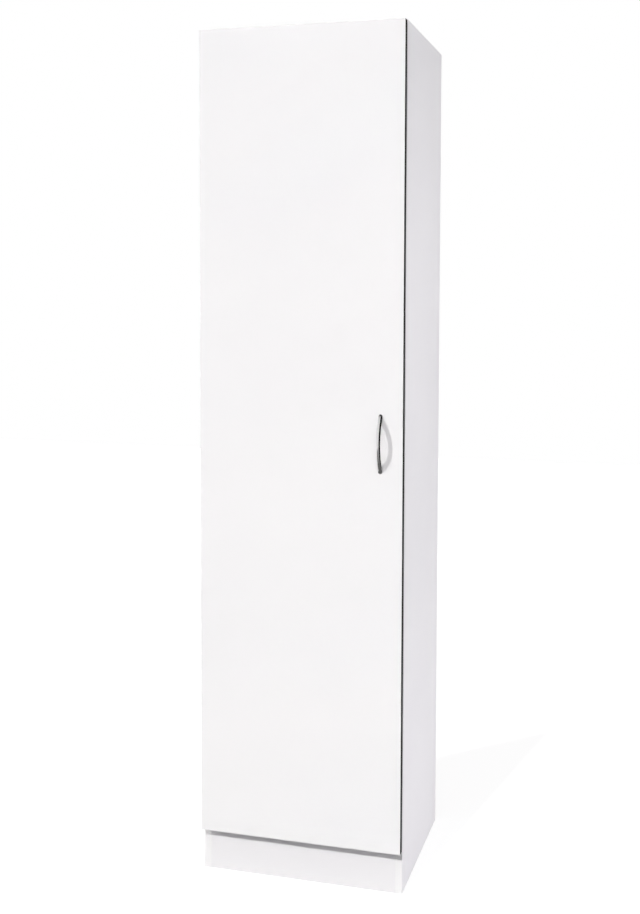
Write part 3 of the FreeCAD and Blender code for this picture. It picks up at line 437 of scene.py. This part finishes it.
# every other node that keeps its own mesh
nodeFinishes = {
    "back_joining_strip": "whiteMoulding", "plinth_blocks": "whiteMoulding",
    "magnet_catch": "whiteMoulding", "door_edge_band": "darkBand",
    "cam_locks": "zincCast", "cam_bolts": "screwSteel",
    "wood_dowels": "beechRod", "shelf_pins": "nickelPlate", "strike_plate": "zincSheet",
    "wall_bracket_left": "zincSheet", "wall_bracket_right": "zincSheet",
}
nickelNames = ("hinge_cup_", "hinge_arm_", "hinge_plate_", "hinge_pin_", "broom_hook_")
for nodeName in nodes:
    if nodeName.startswith(nickelNames) and not nodeName.endswith("screws"):
        nodeFinishes[nodeName] = "nickelPlate"
for nodeName, finishName in nodeFinishes.items():
    finish(nodeName, finishes[finishName])
print("materials on", len(boards) + len(sheets) + len(nodeFinishes), "nodes")


# Making pieces

weldDistance = 0.000001
ringReach = 0.00002    # corners this near to a solid's end belong to its rim


def addPiece(name, mesh, body, replaced):
    piece = bpy.data.objects.new(name, mesh)
    scene.collection.objects.link(piece)
    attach(piece, body)
    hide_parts(replaced)
    return piece


# the corners of each separate solid in a CAD node
def solidsOf(nodeName):
    merged = bmesh.new()
    merged.from_mesh(nodes[nodeName].data)
    bmesh.ops.remove_doubles(merged, verts=merged.verts, dist=weldDistance)
    waiting = set(merged.verts)
    solids = []
    while waiting:
        stack = [waiting.pop()]
        corners = []
        while stack:
            vert = stack.pop()
            corners.append(vert.co.copy())
            for edge in vert.link_edges:
                other = edge.other_vert(vert)
                if other in waiting:
                    waiting.remove(other)
                    stack.append(other)
        solids.append(corners)
    merged.free()
    return sorted(solids, key=lambda corners: tuple(round(number, 5) for number in lowestOf(corners)))


def lowestOf(corners):
    return [min(corner[axis] for corner in corners) for axis in range(3)]


def highestOf(corners):
    return [max(corner[axis] for corner in corners) for axis in range(3)]


# where each turned solid of a node begins, which way it goes, its length and its widest radius
def turnedPlaces(nodeName, disc=False):
    places = []
    for corners in solidsOf(nodeName):
        low, high = lowestOf(corners), highestOf(corners)
        sizes = [high[axis] - low[axis] for axis in range(3)]
        along = sizes.index(min(sizes) if disc else max(sizes))
        centre = [(low[axis] + high[axis]) / 2 for axis in range(3)]
        widths = []
        for end in (low[along], high[along]):
            ring = [corner for corner in corners if abs(corner[along] - end) < ringReach]
            widths.append(max(Vector([corner[axis] - centre[axis] if axis != along else 0.0
                                      for axis in range(3)]).length for corner in ring))
        startsLow = (widths[0] < widths[1]) if disc else (widths[0] > widths[1])
        aim = Vector((0, 0, 0))
        aim[along] = 1.0 if startsLow else -1.0
        seat = Vector(centre)
        seat[along] = low[along] if startsLow else high[along]
        places.append(dict(seat=seat, aim=aim, length=round(sizes[along], 6), radius=max(widths)))
    return places


threadSteps, ridgeSides = 14, 3    # steps in a turn of thread, and sides of its ridge
creaseAngle = 0.6


# Geometry node tree: turns a profile, cuts a cross recess, winds a thread and sets one on every point
def makeTurnedRow():
    inputs = {
        "Geometry": ("NodeSocketGeometry", None), "Profile": ("NodeSocketObject", None),
        "Profile Points": (count, 8), "Segments": (count, 32),
        "Recess Width": (real, 0.0), "Recess Reach": (real, 0.0), "Recess Depth": (real, 0.0),
        "Thread Radius": (real, 0.0), "Thread Height": (real, 0.0), "Thread Start": (real, 0.0),
        "Thread Length": (real, 0.0), "Thread Pitch": (real, 0.0), "Spin Seed": (count, 3),
        "Material": ("NodeSocketMaterial", None),
    }
    outputs = {"Geometry": "NodeSocketGeometry"}
    tree, given, result = newGroup("turnedRow", "GeometryNodeTree", inputs, outputs)
    profile = addNode(tree, "GeometryNodeObjectInfo", {"Object": given["Profile"]}).outputs["Geometry"]
    grid = addNode(tree, "GeometryNodeMeshGrid", {
        "Size X": 1.0, "Size Y": 1.0, "Vertices X": given["Profile Points"],
        "Vertices Y": calc(tree, "ADD", given["Segments"], 1.0)})
    place = split(tree, addNode(tree, "GeometryNodeInputPosition").outputs[0])
    stepNumber = calc(tree, "MULTIPLY", calc(tree, "ADD", place[0], 0.5),
                      calc(tree, "SUBTRACT", given["Profile Points"], 1.0))
    angle = calc(tree, "MULTIPLY", calc(tree, "ADD", place[1], 0.5), -fullTurn)
    here = addNode(tree, "GeometryNodeInputPosition").outputs[0]
    sample = addNode(tree, "GeometryNodeSampleIndex", {"Geometry": profile}, data_type="FLOAT_VECTOR")
    tree.links.new(here, sample.inputs["Value"])
    tree.links.new(calc(tree, "ROUND", stepNumber), sample.inputs["Index"])
    outline = split(tree, sample.outputs[0])
    turned = addNode(tree, "ShaderNodeCombineXYZ", {
        0: calc(tree, "MULTIPLY", outline[0], calc(tree, "COSINE", angle)),
        1: calc(tree, "MULTIPLY", outline[0], calc(tree, "SINE", angle)), 2: outline[2]}).outputs[0]
    body = addNode(tree, "GeometryNodeSetPosition", {"Geometry": grid.outputs["Mesh"], "Position": turned})
    body = addNode(tree, "GeometryNodeMergeByDistance", {
        "Geometry": body.outputs[0], "Distance": weldDistance})
    twiceDeep = calc(tree, "MULTIPLY", given["Recess Depth"], 2.0)
    arms = []
    reach, width = given["Recess Reach"], given["Recess Width"]
    for sides in ((reach, width), (width, reach)):
        size = addNode(tree, "ShaderNodeCombineXYZ", {0: sides[0], 1: sides[1], 2: twiceDeep}).outputs[0]
        arms.append(addNode(tree, "GeometryNodeMeshCube", {"Size": size}).outputs["Mesh"])
    cut = addNode(tree, "GeometryNodeMeshBoolean", {"Mesh 1": body.outputs[0]},
                  operation="DIFFERENCE", solver="EXACT")
    for arm in arms:
        tree.links.new(arm, cut.inputs["Mesh 2"])
    hasRecess = addNode(tree, "FunctionNodeCompare", {0: given["Recess Width"], 1: 0.0},
                        operation="GREATER_THAN").outputs[0]
    head = addNode(tree, "GeometryNodeSwitch", {"Switch": hasRecess, "False": body.outputs[0],
                                                "True": cut.outputs[0]}, input_type="GEOMETRY").outputs[0]
    hasThread = addNode(tree, "FunctionNodeCompare", {0: given["Thread Pitch"], 1: 0.0},
                        operation="GREATER_THAN").outputs[0]
    turns = calc(tree, "DIVIDE", given["Thread Length"],
                 calc(tree, "MAXIMUM", given["Thread Pitch"], 0.0001))
    helix = addNode(tree, "GeometryNodeCurveSpiral", {
        "Resolution": threadSteps, "Rotations": turns, "Start Radius": given["Thread Radius"],
        "End Radius": given["Thread Radius"], "Height": given["Thread Length"]})
    ridge = addNode(tree, "GeometryNodeCurvePrimitiveCircle", {
        "Resolution": ridgeSides, "Radius": given["Thread Height"]})
    wound = addNode(tree, "GeometryNodeCurveToMesh", {
        "Curve": helix.outputs[0], "Profile Curve": ridge.outputs[0], "Fill Caps": True})
    shift = addNode(tree, "ShaderNodeCombineXYZ", {2: given["Thread Start"]}).outputs[0]
    wound = addNode(tree, "GeometryNodeTransform", {"Geometry": wound.outputs[0], "Translation": shift})
    thread = addNode(tree, "GeometryNodeSwitch", {"Switch": hasThread, "True": wound.outputs[0]},
                     input_type="GEOMETRY").outputs[0]
    joined = addNode(tree, "GeometryNodeJoinGeometry")
    for shape in (head, thread):
        tree.links.new(shape, joined.inputs[0])
    smooth = addNode(tree, "GeometryNodeSetShadeSmooth", {"Geometry": joined.outputs[0]}, domain="FACE")
    sharp = addNode(tree, "FunctionNodeCompare", {
        0: addNode(tree, "GeometryNodeInputMeshEdgeAngle").outputs[0], 1: creaseAngle},
        operation="GREATER_THAN")
    smooth = addNode(tree, "GeometryNodeSetShadeSmooth", {
        "Geometry": smooth.outputs[0], "Selection": sharp.outputs[0], "Shade Smooth": False}, domain="EDGE")
    aim = addNode(tree, "GeometryNodeInputNamedAttribute", {"Name": "aim"}, data_type="FLOAT_VECTOR")
    facing = addNode(tree, "FunctionNodeAlignRotationToVector", {"Vector": aim.outputs[0]}, axis="Z")
    turn = addNode(tree, "FunctionNodeRandomValue", {"Seed": given["Spin Seed"]}, data_type="FLOAT")
    turn.inputs[3].default_value = fullTurn
    spin = addNode(tree, "FunctionNodeAxisAngleToRotation", {"Axis": (0, 0, 1), "Angle": turn.outputs[1]})
    placed = addNode(tree, "FunctionNodeRotateRotation", {
        "Rotation": facing.outputs[0], "Rotate By": spin.outputs[0]}, rotation_space="LOCAL")
    row = addNode(tree, "GeometryNodeInstanceOnPoints", {
        "Points": given["Geometry"], "Instance": smooth.outputs[0], "Rotation": placed.outputs[0]})
    solid = addNode(tree, "GeometryNodeRealizeInstances", {"Geometry": row.outputs[0]})
    coated = addNode(tree, "GeometryNodeSetMaterial", {
        "Geometry": solid.outputs[0], "Material": given["Material"]})
    tree.links.new(coated.outputs[0], result["Geometry"])
    return tree


turnedRow = makeTurnedRow()


def setInputs(modifier, values):
    for item in modifier.node_group.interface.items_tree:
        if item.item_type == "SOCKET" and item.in_out == "INPUT" and item.name in values:
            modifier[item.identifier] = values[item.name]


# one run of the tree: the same profile on every place, as a plain mesh
def runTurnedRow(places, profile, values):
    line = bpy.data.meshes.new("profile")
    line.from_pydata([(radius, 0, reach) for radius, reach in profile],
                     [(number, number + 1) for number in range(len(profile) - 1)], [])
    profileObject = bpy.data.objects.new("profile", line)
    scene.collection.objects.link(profileObject)
    dots = bpy.data.meshes.new("seats")
    dots.from_pydata([place["seat"] for place in places], [], [])
    aims = dots.attributes.new("aim", "FLOAT_VECTOR", "POINT")
    aims.data.foreach_set("vector", [number for place in places for number in place["aim"]])
    carrier = bpy.data.objects.new("carrier", dots)
    scene.collection.objects.link(carrier)
    modifier = carrier.modifiers.new("turned", "NODES")
    modifier.node_group = turnedRow
    setInputs(modifier, {"Profile": profileObject, "Profile Points": len(profile), **values})
    shown = carrier.evaluated_get(bpy.context.evaluated_depsgraph_get())
    mesh = bpy.data.meshes.new_from_object(shown)
    carrier.modifiers.clear()
    bpy.data.objects.remove(carrier)
    bpy.data.objects.remove(profileObject)
    return mesh


def joinMeshes(name, meshes):
    gathered = bmesh.new()
    for mesh in meshes:
        gathered.from_mesh(mesh)
    joined = bpy.data.meshes.new(name)
    gathered.to_mesh(joined)
    gathered.free()
    joined.materials.append(meshes[0].materials[0])
    return joined


# Screws: a domed or flat head with a cross recess, a threaded shank and a point
screwStyles = dict(
    wood=dict(headHeight=0.0020, crown=0.0009, shank=0.00175, point=0.0022, pitch=0.0012, recess=0.0042,
              recessWidth=0.00105, recessDepth=0.0012),
    sunk=dict(headHeight=0.0012, crown=0.0, shank=0.00175, point=0.0022, pitch=0.0012, recess=0.0042,
              recessWidth=0.00105, recessDepth=0.0008),
    euro=dict(headHeight=0.0022, crown=0.0007, shank=0.0025, point=0.0018, pitch=0.0018, recess=0.0052,
              recessWidth=0.0013, recessDepth=0.0016),
    machine=dict(headHeight=0.0018, crown=0.0006, shank=0.0022, point=0.0006, pitch=0.0008, recess=0.0044,
                 recessWidth=0.0011, recessDepth=0.0011),
    handle=dict(headHeight=0.0022, crown=0.0010, shank=0.0020, point=0.0006, pitch=0.0008, recess=0.0048,
                recessWidth=0.0012, recessDepth=0.0014),
)
screwNodes = {
    "plinth_block_screws": ("wood", "carcass"), "wall_bracket_screws": ("wood", "carcass"),
    "hook_screws": ("wood", "carcass"), "magnet_catch_screws": ("wood", "carcass"),
    "hinge_plate_screws": ("euro", "carcass"), "hinge_arm_screws": ("machine", "carcass"),
    "hinge_cup_screws": ("wood", "door"), "strike_plate_screws": ("sunk", "door"),
    "handle_screws": ("handle", "door"),
}
# the thread's depth is a share of the shank's radius, and some turns of it are left plain at its ends
screwForm = dict(threadShare=0.22, plainTurns=1.5, domeSteps=6, domeReach=0.94, segments=36, seed=3)


def screwProfile(place, style):
    profile = []
    radius = place["radius"]
    for step in range(screwForm["domeSteps"] + 1):
        share = step / screwForm["domeSteps"]
        fall = 1 - math.sqrt(1 - (screwForm["domeReach"] * share) ** 2)
        profile.append((radius * share, style["crown"] * fall))
    core = style["shank"] * (1 - screwForm["threadShare"])
    profile += [(radius, style["headHeight"]), (core, style["headHeight"]),
                (core, place["length"] - style["point"]), (0.0, place["length"])]
    return profile


def makeScrews(nodeName, styleName, body):
    style = screwStyles[styleName]
    places = turnedPlaces(nodeName)
    meshes = []
    for length in sorted({place["length"] for place in places}):
        row = [place for place in places if place["length"] == length]
        threadHeight = style["shank"] * screwForm["threadShare"]
        meshes.append(runTurnedRow(row, screwProfile(row[0], style), {
            "Segments": screwForm["segments"], "Recess Width": style["recessWidth"],
            "Recess Reach": style["recess"], "Recess Depth": style["recessDepth"],
            "Thread Radius": style["shank"] - threadHeight, "Thread Height": threadHeight,
            "Thread Start": style["headHeight"] + style["pitch"],
            "Thread Length": (length - style["headHeight"] - style["point"]
                              - screwForm["plainTurns"] * style["pitch"]),
            "Thread Pitch": style["pitch"], "Spin Seed": screwForm["seed"] + len(meshes),
            "Material": finishes["screwSteel"]}))
    addPiece(nodeName + "_cross", joinMeshes(nodeName, meshes), body, nodeName)


for nodeName, (styleName, bodyName) in screwNodes.items():
    makeScrews(nodeName, styleName, bodyName)
print("screws in place")


# Cam caps and door buffers: thin domes
domes = {
    "cam_caps": dict(crown=0.00025, edge=0.0005, body="carcass",
                     finish="whiteMoulding", slot="white_plastic"),
    "door_buffers": dict(crown=0.0007, edge=0.0018, body="door",
                         finish="softDome", slot="soft_buffer"),
}
domeForm = dict(steps=5, segments=48)


def domeProfile(radius, height, crown, edge):
    steps = domeForm["steps"]
    profile = []
    for step in range(steps + 1):
        share = step / steps
        profile.append(((radius - edge) * share, crown * share ** 2))
    for step in range(1, steps + 1):
        angle = step / steps * fullTurn / 4
        profile.append((radius - edge + edge * math.sin(angle), crown + edge * (1 - math.cos(angle))))
    profile += [(radius, height), (0.0, height)]
    return profile


def makeDomes(nodeName, style):
    places = turnedPlaces(nodeName, disc=True)
    radius = max(place["radius"] for place in places)
    profile = domeProfile(radius, places[0]["length"], style["crown"], style["edge"])
    mesh = runTurnedRow(places, profile, {
        "Segments": domeForm["segments"], "Material": finishes[style["finish"]]})
    mesh.name = nodeName
    addPiece(nodeName + "_domed", mesh, style["body"], nodeName)


for nodeName, style in domes.items():
    makeDomes(nodeName, style)
print("caps and buffers in place")


# Bow handle: flat feet on the door that run into a crescent grip
bow = dict(
    footLength=0.0145, footBlend=0.008, gripThickness=0.005, archHeight=0.0025,
    waist=0.82, footWaist=0.93,    # the front's width, as shares of the foot's
    backPower=2.6, footPower=9.0,    # how square the back is at the grip and at the foot
    stations=96, corners=40, crease=0.5,
)


# smooth shading, with a crease at each edge that turns more than the given angle
def smoothed(shape, sharpAngle):
    for face in shape.faces:
        face.smooth = True
    for edge in shape.edges:
        if len(edge.link_faces) == 2 and edge.calc_face_angle(0.0) > sharpAngle:
            edge.smooth = False


def arcRise(halfSpan, rise, offset):
    radius = (halfSpan ** 2 + rise ** 2) / (2 * rise)
    return math.sqrt(max(radius ** 2 - offset ** 2, 0.0)) - radius + rise


# the handle's section at a distance from its middle: three depths, two half widths and the back's power
def bowSection(offset, halfLength, rise, halfWidth):
    outer = arcRise(halfLength, rise, offset)
    innerHalf = halfLength - bow["footLength"]
    inner = 0.0
    if abs(offset) < innerHalf:
        inner = arcRise(innerHalf, rise - bow["gripThickness"], offset)
    past = (abs(offset) - halfLength + halfWidth) / halfWidth    # into the half-round end
    base = halfWidth * math.sqrt(max(1 - max(past, 0.0) ** 2, 0.0))
    foot = min(max((abs(offset) - innerHalf + bow["footBlend"]) / bow["footBlend"], 0.0), 1.0)
    edge = max(outer - bow["archHeight"], (outer + inner) / 2)    # where the arched front meets the sides
    backPower = bow["backPower"] + (bow["footPower"] - bow["backPower"]) * foot
    outward = min(abs(offset) / innerHalf, 1.0)
    front = base * (bow["waist"] + (bow["footWaist"] - bow["waist"]) * outward ** 2)
    return outer, edge, inner, front, front + (base - front) * foot, backPower


def makeBow():
    low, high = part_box("bow_handle")
    centre = (low + high) / 2
    halfLength = (high.z - low.z) / 2
    rise = high.y - low.y
    halfWidth = (high.x - low.x) / 2
    shape = bmesh.new()
    rings = []
    for station in range(1, bow["stations"]):
        offset = -halfLength * math.cos(math.pi * station / bow["stations"])
        outer, edge, inner, front, base, backPower = bowSection(offset, halfLength, rise, halfWidth)
        ring = []
        for corner in range(bow["corners"]):
            angle = fullTurn * corner / bow["corners"]
            across, outward = math.cos(angle), math.sin(angle)
            if outward > 0:
                x = front * across
                depth = edge + (outer - edge) * (1 - across ** 2)
            else:
                fall = abs(outward) ** (2 / backPower)
                x = (front + (base - front) * fall) * math.copysign(abs(across) ** (2 / backPower), across)
                depth = edge - (edge - inner) * fall
            ring.append(shape.verts.new((centre.x + x, high.y - depth, centre.z + offset)))
        rings.append(ring)
    for below, above in zip(rings, rings[1:]):
        for corner in range(bow["corners"]):
            following = (corner + 1) % bow["corners"]
            face = shape.faces.new((below[corner], below[following], above[following], above[corner]))
            face.material_index = int(corner >= bow["corners"] / 2)    # sides and back take the cast finish, darkened as painted shade for their dark reflections
    for ring, tipHeight in ((rings[0], low.z), (rings[-1], high.z)):
        tip = shape.verts.new((centre.x, high.y, tipHeight))
        for corner in range(bow["corners"]):
            shape.faces.new((ring[corner], ring[(corner + 1) % bow["corners"]], tip))
    bmesh.ops.recalc_face_normals(shape, faces=shape.faces)
    smoothed(shape, bow["crease"])
    mesh = bpy.data.meshes.new("bow_grip")
    shape.to_mesh(mesh)
    shape.free()
    mesh.materials.append(finishes["satinHandle"])
    mesh.materials.append(finishes["castHandleWithPaintedShade"])
    return addPiece("bow_grip", mesh, "door", "bow_handle")


handle = makeBow()
print("handle in place")


# Magnet: a ferrite block between two ground pole plates
magnet = dict(poleThickness=0.0012, ferriteSetback=0.0006, arris=0.0002)


def addBlock(shape, low, high, materialNumber):
    made = bmesh.ops.create_cube(shape, size=1.0)["verts"]
    for vert in made:
        for axis in range(3):
            vert.co[axis] = high[axis] if vert.co[axis] > 0 else low[axis]
    edges = list({edge for vert in made for edge in vert.link_edges})
    faces = {face for vert in made for face in vert.link_faces}
    for face in faces:
        face.material_index = materialNumber
    bmesh.ops.bevel(shape, geom=edges, offset=magnet["arris"], segments=2, profile=0.5, affect="EDGES")


def makeMagnet():
    low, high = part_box("catch_magnet")
    pole = magnet["poleThickness"]
    shape = bmesh.new()
    addBlock(shape, (low.x, low.y, low.z), (low.x + pole, high.y, high.z), 0)
    addBlock(shape, (high.x - pole, low.y, low.z), (high.x, high.y, high.z), 0)
    ferriteFront = low.y + magnet["ferriteSetback"]
    addBlock(shape, (low.x + pole, ferriteFront, low.z), (high.x - pole, high.y, high.z), 1)
    bmesh.ops.recalc_face_normals(shape, faces=shape.faces)
    mesh = bpy.data.meshes.new("magnet_with_poles")
    shape.to_mesh(mesh)
    shape.free()
    mesh.materials.append(finishes["poleSteel"])
    mesh.materials.append(finishes["ferrite"])
    return addPiece("magnet_with_poles", mesh, "carcass", "catch_magnet")


makeMagnet()
print("magnet in place")


# Stage: floor, studio light and camera
studio = dict(
    ambient=0.645, ambientColor=(0.985, 0.968, 1.0, 1), floorSize=14.0, floorColor=(0.28, 0.28, 0.28, 1),
    floorGlow=0.855, floorShade=0.20,
)
# the second key's light passes through the handle, so that the handle's shadow stays pale
keys = dict(
    first=dict(place=(-3.38, -2.91, 2.90), power=16.8),
    second=dict(place=(-0.30, -2.91, 2.90), power=12.9, passesHandle=True),
)
keyStyle = dict(radius=0.008, color=(1.0, 0.99, 0.97), levelDistance=3.9, levelling=1.3)
# narrow strips beside the cupboard, behind the plane of its front, so that they light its side alone
fills = dict(
    low=dict(place=(1.40, -0.09, 0.06), height=0.1, power=4.76),
    high=dict(place=(0.94, -0.09, 1.44), height=1.0, power=1.53),
)
fillStyle = dict(width=0.2, color=(0.967, 0.935, 1.0))
# cards that only mirror-like rays meet: corners, then how bright they are at their low and high y
cards = dict(
    right=dict(low=(1.3, -5.0, 0.0), high=(1.3, -0.215, 7.0), bright=(0.02, 0.02)),
    floor=dict(low=(-4.0, -4.5, 0.01), high=(1.3, -0.215, 0.01), bright=(0.80, 0.10)),
    overhead=dict(low=(-2.0, -2.2, 4.0), high=(1.3, -0.215, 4.0), bright=(0.04, 0.04)),
)


def seenDirectly(tree):
    rays = addNode(tree, "ShaderNodeLightPath").outputs
    mirrored = calc(tree, "MAXIMUM", rays["Is Glossy Ray"], rays["Is Transmission Ray"])
    return calc(tree, "MAXIMUM", rays["Is Camera Ray"], mirrored)


def makeWorld():
    world = bpy.data.worlds.new("studio")
    scene.world = world
    world.use_nodes = True
    tree = world.node_tree
    tree.nodes.clear()
    seen = seenDirectly(tree)
    color = mixColor(tree, seen, studio["ambientColor"], (1, 1, 1, 1))
    strength = mixValue(tree, seen, studio["ambient"], 1.0)
    background = addNode(tree, "ShaderNodeBackground", {"Color": color, "Strength": strength})
    addNode(tree, "ShaderNodeOutputWorld", {"Surface": background.outputs[0]})


def makeFloor():
    half = studio["floorSize"] / 2
    mesh = bpy.data.meshes.new("floor")
    corners = [(-half, -half, 0), (half, -half, 0), (half, half, 0), (-half, half, 0)]
    mesh.from_pydata(corners, [], [(0, 1, 2, 3)])
    floor = bpy.data.objects.new("floor", mesh)
    scene.collection.objects.link(floor)
    material = bpy.data.materials.new("pale_floor")
    material.use_nodes = True
    tree = material.node_tree
    tree.nodes.clear()
    seen = seenDirectly(tree)
    bounce = addNode(tree, "ShaderNodeBsdfDiffuse", {"Color": studio["floorColor"]}).outputs[0]
    shade = studio["floorShade"]
    shaded = addNode(tree, "ShaderNodeBsdfDiffuse", {"Color": (shade, shade, shade, 1)}).outputs[0]
    glow = addNode(tree, "ShaderNodeEmission", {"Strength": studio["floorGlow"]}).outputs[0]
    white = addNode(tree, "ShaderNodeAddShader", {0: shaded, 1: glow}).outputs[0]
    mixed = addNode(tree, "ShaderNodeMixShader", {0: seen, 1: bounce, 2: white}).outputs[0]
    addNode(tree, "ShaderNodeOutputMaterial", {"Surface": mixed})
    mesh.materials.append(material)


# the light grows with the distance it travels, so that the tall door is lit evenly from top to bottom
def levelled(lamp):
    lamp.use_nodes = True
    tree = lamp.node_tree
    falloff = addNode(tree, "ShaderNodeLightFalloff", {"Strength": 1.0}).outputs["Constant"]
    travelled = addNode(tree, "ShaderNodeLightPath").outputs["Ray Length"]
    emission = next(node for node in tree.nodes if node.type == "EMISSION")
    travelled = calc(tree, "DIVIDE", travelled, keyStyle["levelDistance"])
    gain = calc(tree, "POWER", travelled, keyStyle["levelling"])
    strength = calc(tree, "MULTIPLY", falloff, gain)
    tree.links.new(strength, emission.inputs["Strength"])


def makeKeys():
    for name, style in keys.items():
        lamp = bpy.data.lights.new(name + "_key", "POINT")
        lamp.energy = style["power"]
        lamp.shadow_soft_size = keyStyle["radius"]
        lamp.color = keyStyle["color"]
        levelled(lamp)
        key = bpy.data.objects.new(name + "_key", lamp)
        key.location = style["place"]
        scene.collection.objects.link(key)
        key.visible_glossy = key.visible_camera = False
        if style.get("passesHandle"):
            passed = bpy.data.collections.new("passed_by_" + name + "_key")
            passed.objects.link(handle)
            key.light_linking.blocker_collection = passed
            passed.collection_objects[0].light_linking.link_state = "EXCLUDE"


def makeFills():
    for name, fill in fills.items():
        lamp = bpy.data.lights.new(name + "_fill", "AREA")
        lamp.shape = "RECTANGLE"
        lamp.size, lamp.size_y = fillStyle["width"], fill["height"]
        lamp.energy = fill["power"]
        lamp.color = fillStyle["color"]
        lit = bpy.data.objects.new(name + "_fill", lamp)
        lit.location = fill["place"]
        lit.rotation_euler = Vector((-1, 0, 0)).to_track_quat("-Z", "Y").to_euler()
        lit.visible_glossy = lit.visible_camera = False
        scene.collection.objects.link(lit)


def makeCards():
    for name, card in cards.items():
        low, high = card["low"], card["high"]
        if low[0] == high[0]:    # stands upright; the others lie flat
            corners = [low, (low[0], high[1], low[2]), high, (low[0], low[1], high[2])]
        else:
            corners = [low, (high[0], low[1], low[2]), high, (low[0], high[1], low[2])]
        mesh = bpy.data.meshes.new(name + "_card")
        mesh.from_pydata(corners, [], [(0, 1, 2, 3)])
        material = bpy.data.materials.new(name + "_card")
        material.use_nodes = True
        tree = material.node_tree
        tree.nodes.clear()
        along = split(tree, addNode(tree, "ShaderNodeTexCoord").outputs["Object"])[1]
        bright = remap(tree, along, low[1], high[1], *card["bright"])
        glow = addNode(tree, "ShaderNodeEmission", {"Strength": bright}).outputs[0]
        addNode(tree, "ShaderNodeOutputMaterial", {"Surface": glow})
        mesh.materials.append(material)
        board = bpy.data.objects.new(name + "_card", mesh)
        scene.collection.objects.link(board)
        board.visible_camera = board.visible_diffuse = False
        board.visible_shadow = board.visible_transmission = False


cameraStyle = dict(place=(0.81747, -2.76192, 1.38917), swing=15.26, tilt=86.79, roll=0.235, lens=46.11,
                   shiftX=-0.03195, shiftY=-0.10636)


def makeCamera():
    lens = bpy.data.cameras.new("view")
    lens.lens = cameraStyle["lens"]
    lens.sensor_width = 36.0
    lens.sensor_fit = "AUTO"
    lens.shift_x = cameraStyle["shiftX"]
    lens.shift_y = cameraStyle["shiftY"]
    view = bpy.data.objects.new("view", lens)
    turns = [Matrix.Rotation(math.radians(cameraStyle[name]), 4, axis)
             for name, axis in (("swing", "Z"), ("tilt", "X"), ("roll", "Z"))]
    view.matrix_world = Matrix.Translation(cameraStyle["place"]) @ turns[0] @ turns[1] @ turns[2]
    scene.collection.objects.link(view)
    scene.camera = view


makeWorld()
makeFloor()
makeKeys()
makeFills()
makeCards()
makeCamera()
print("stage set")
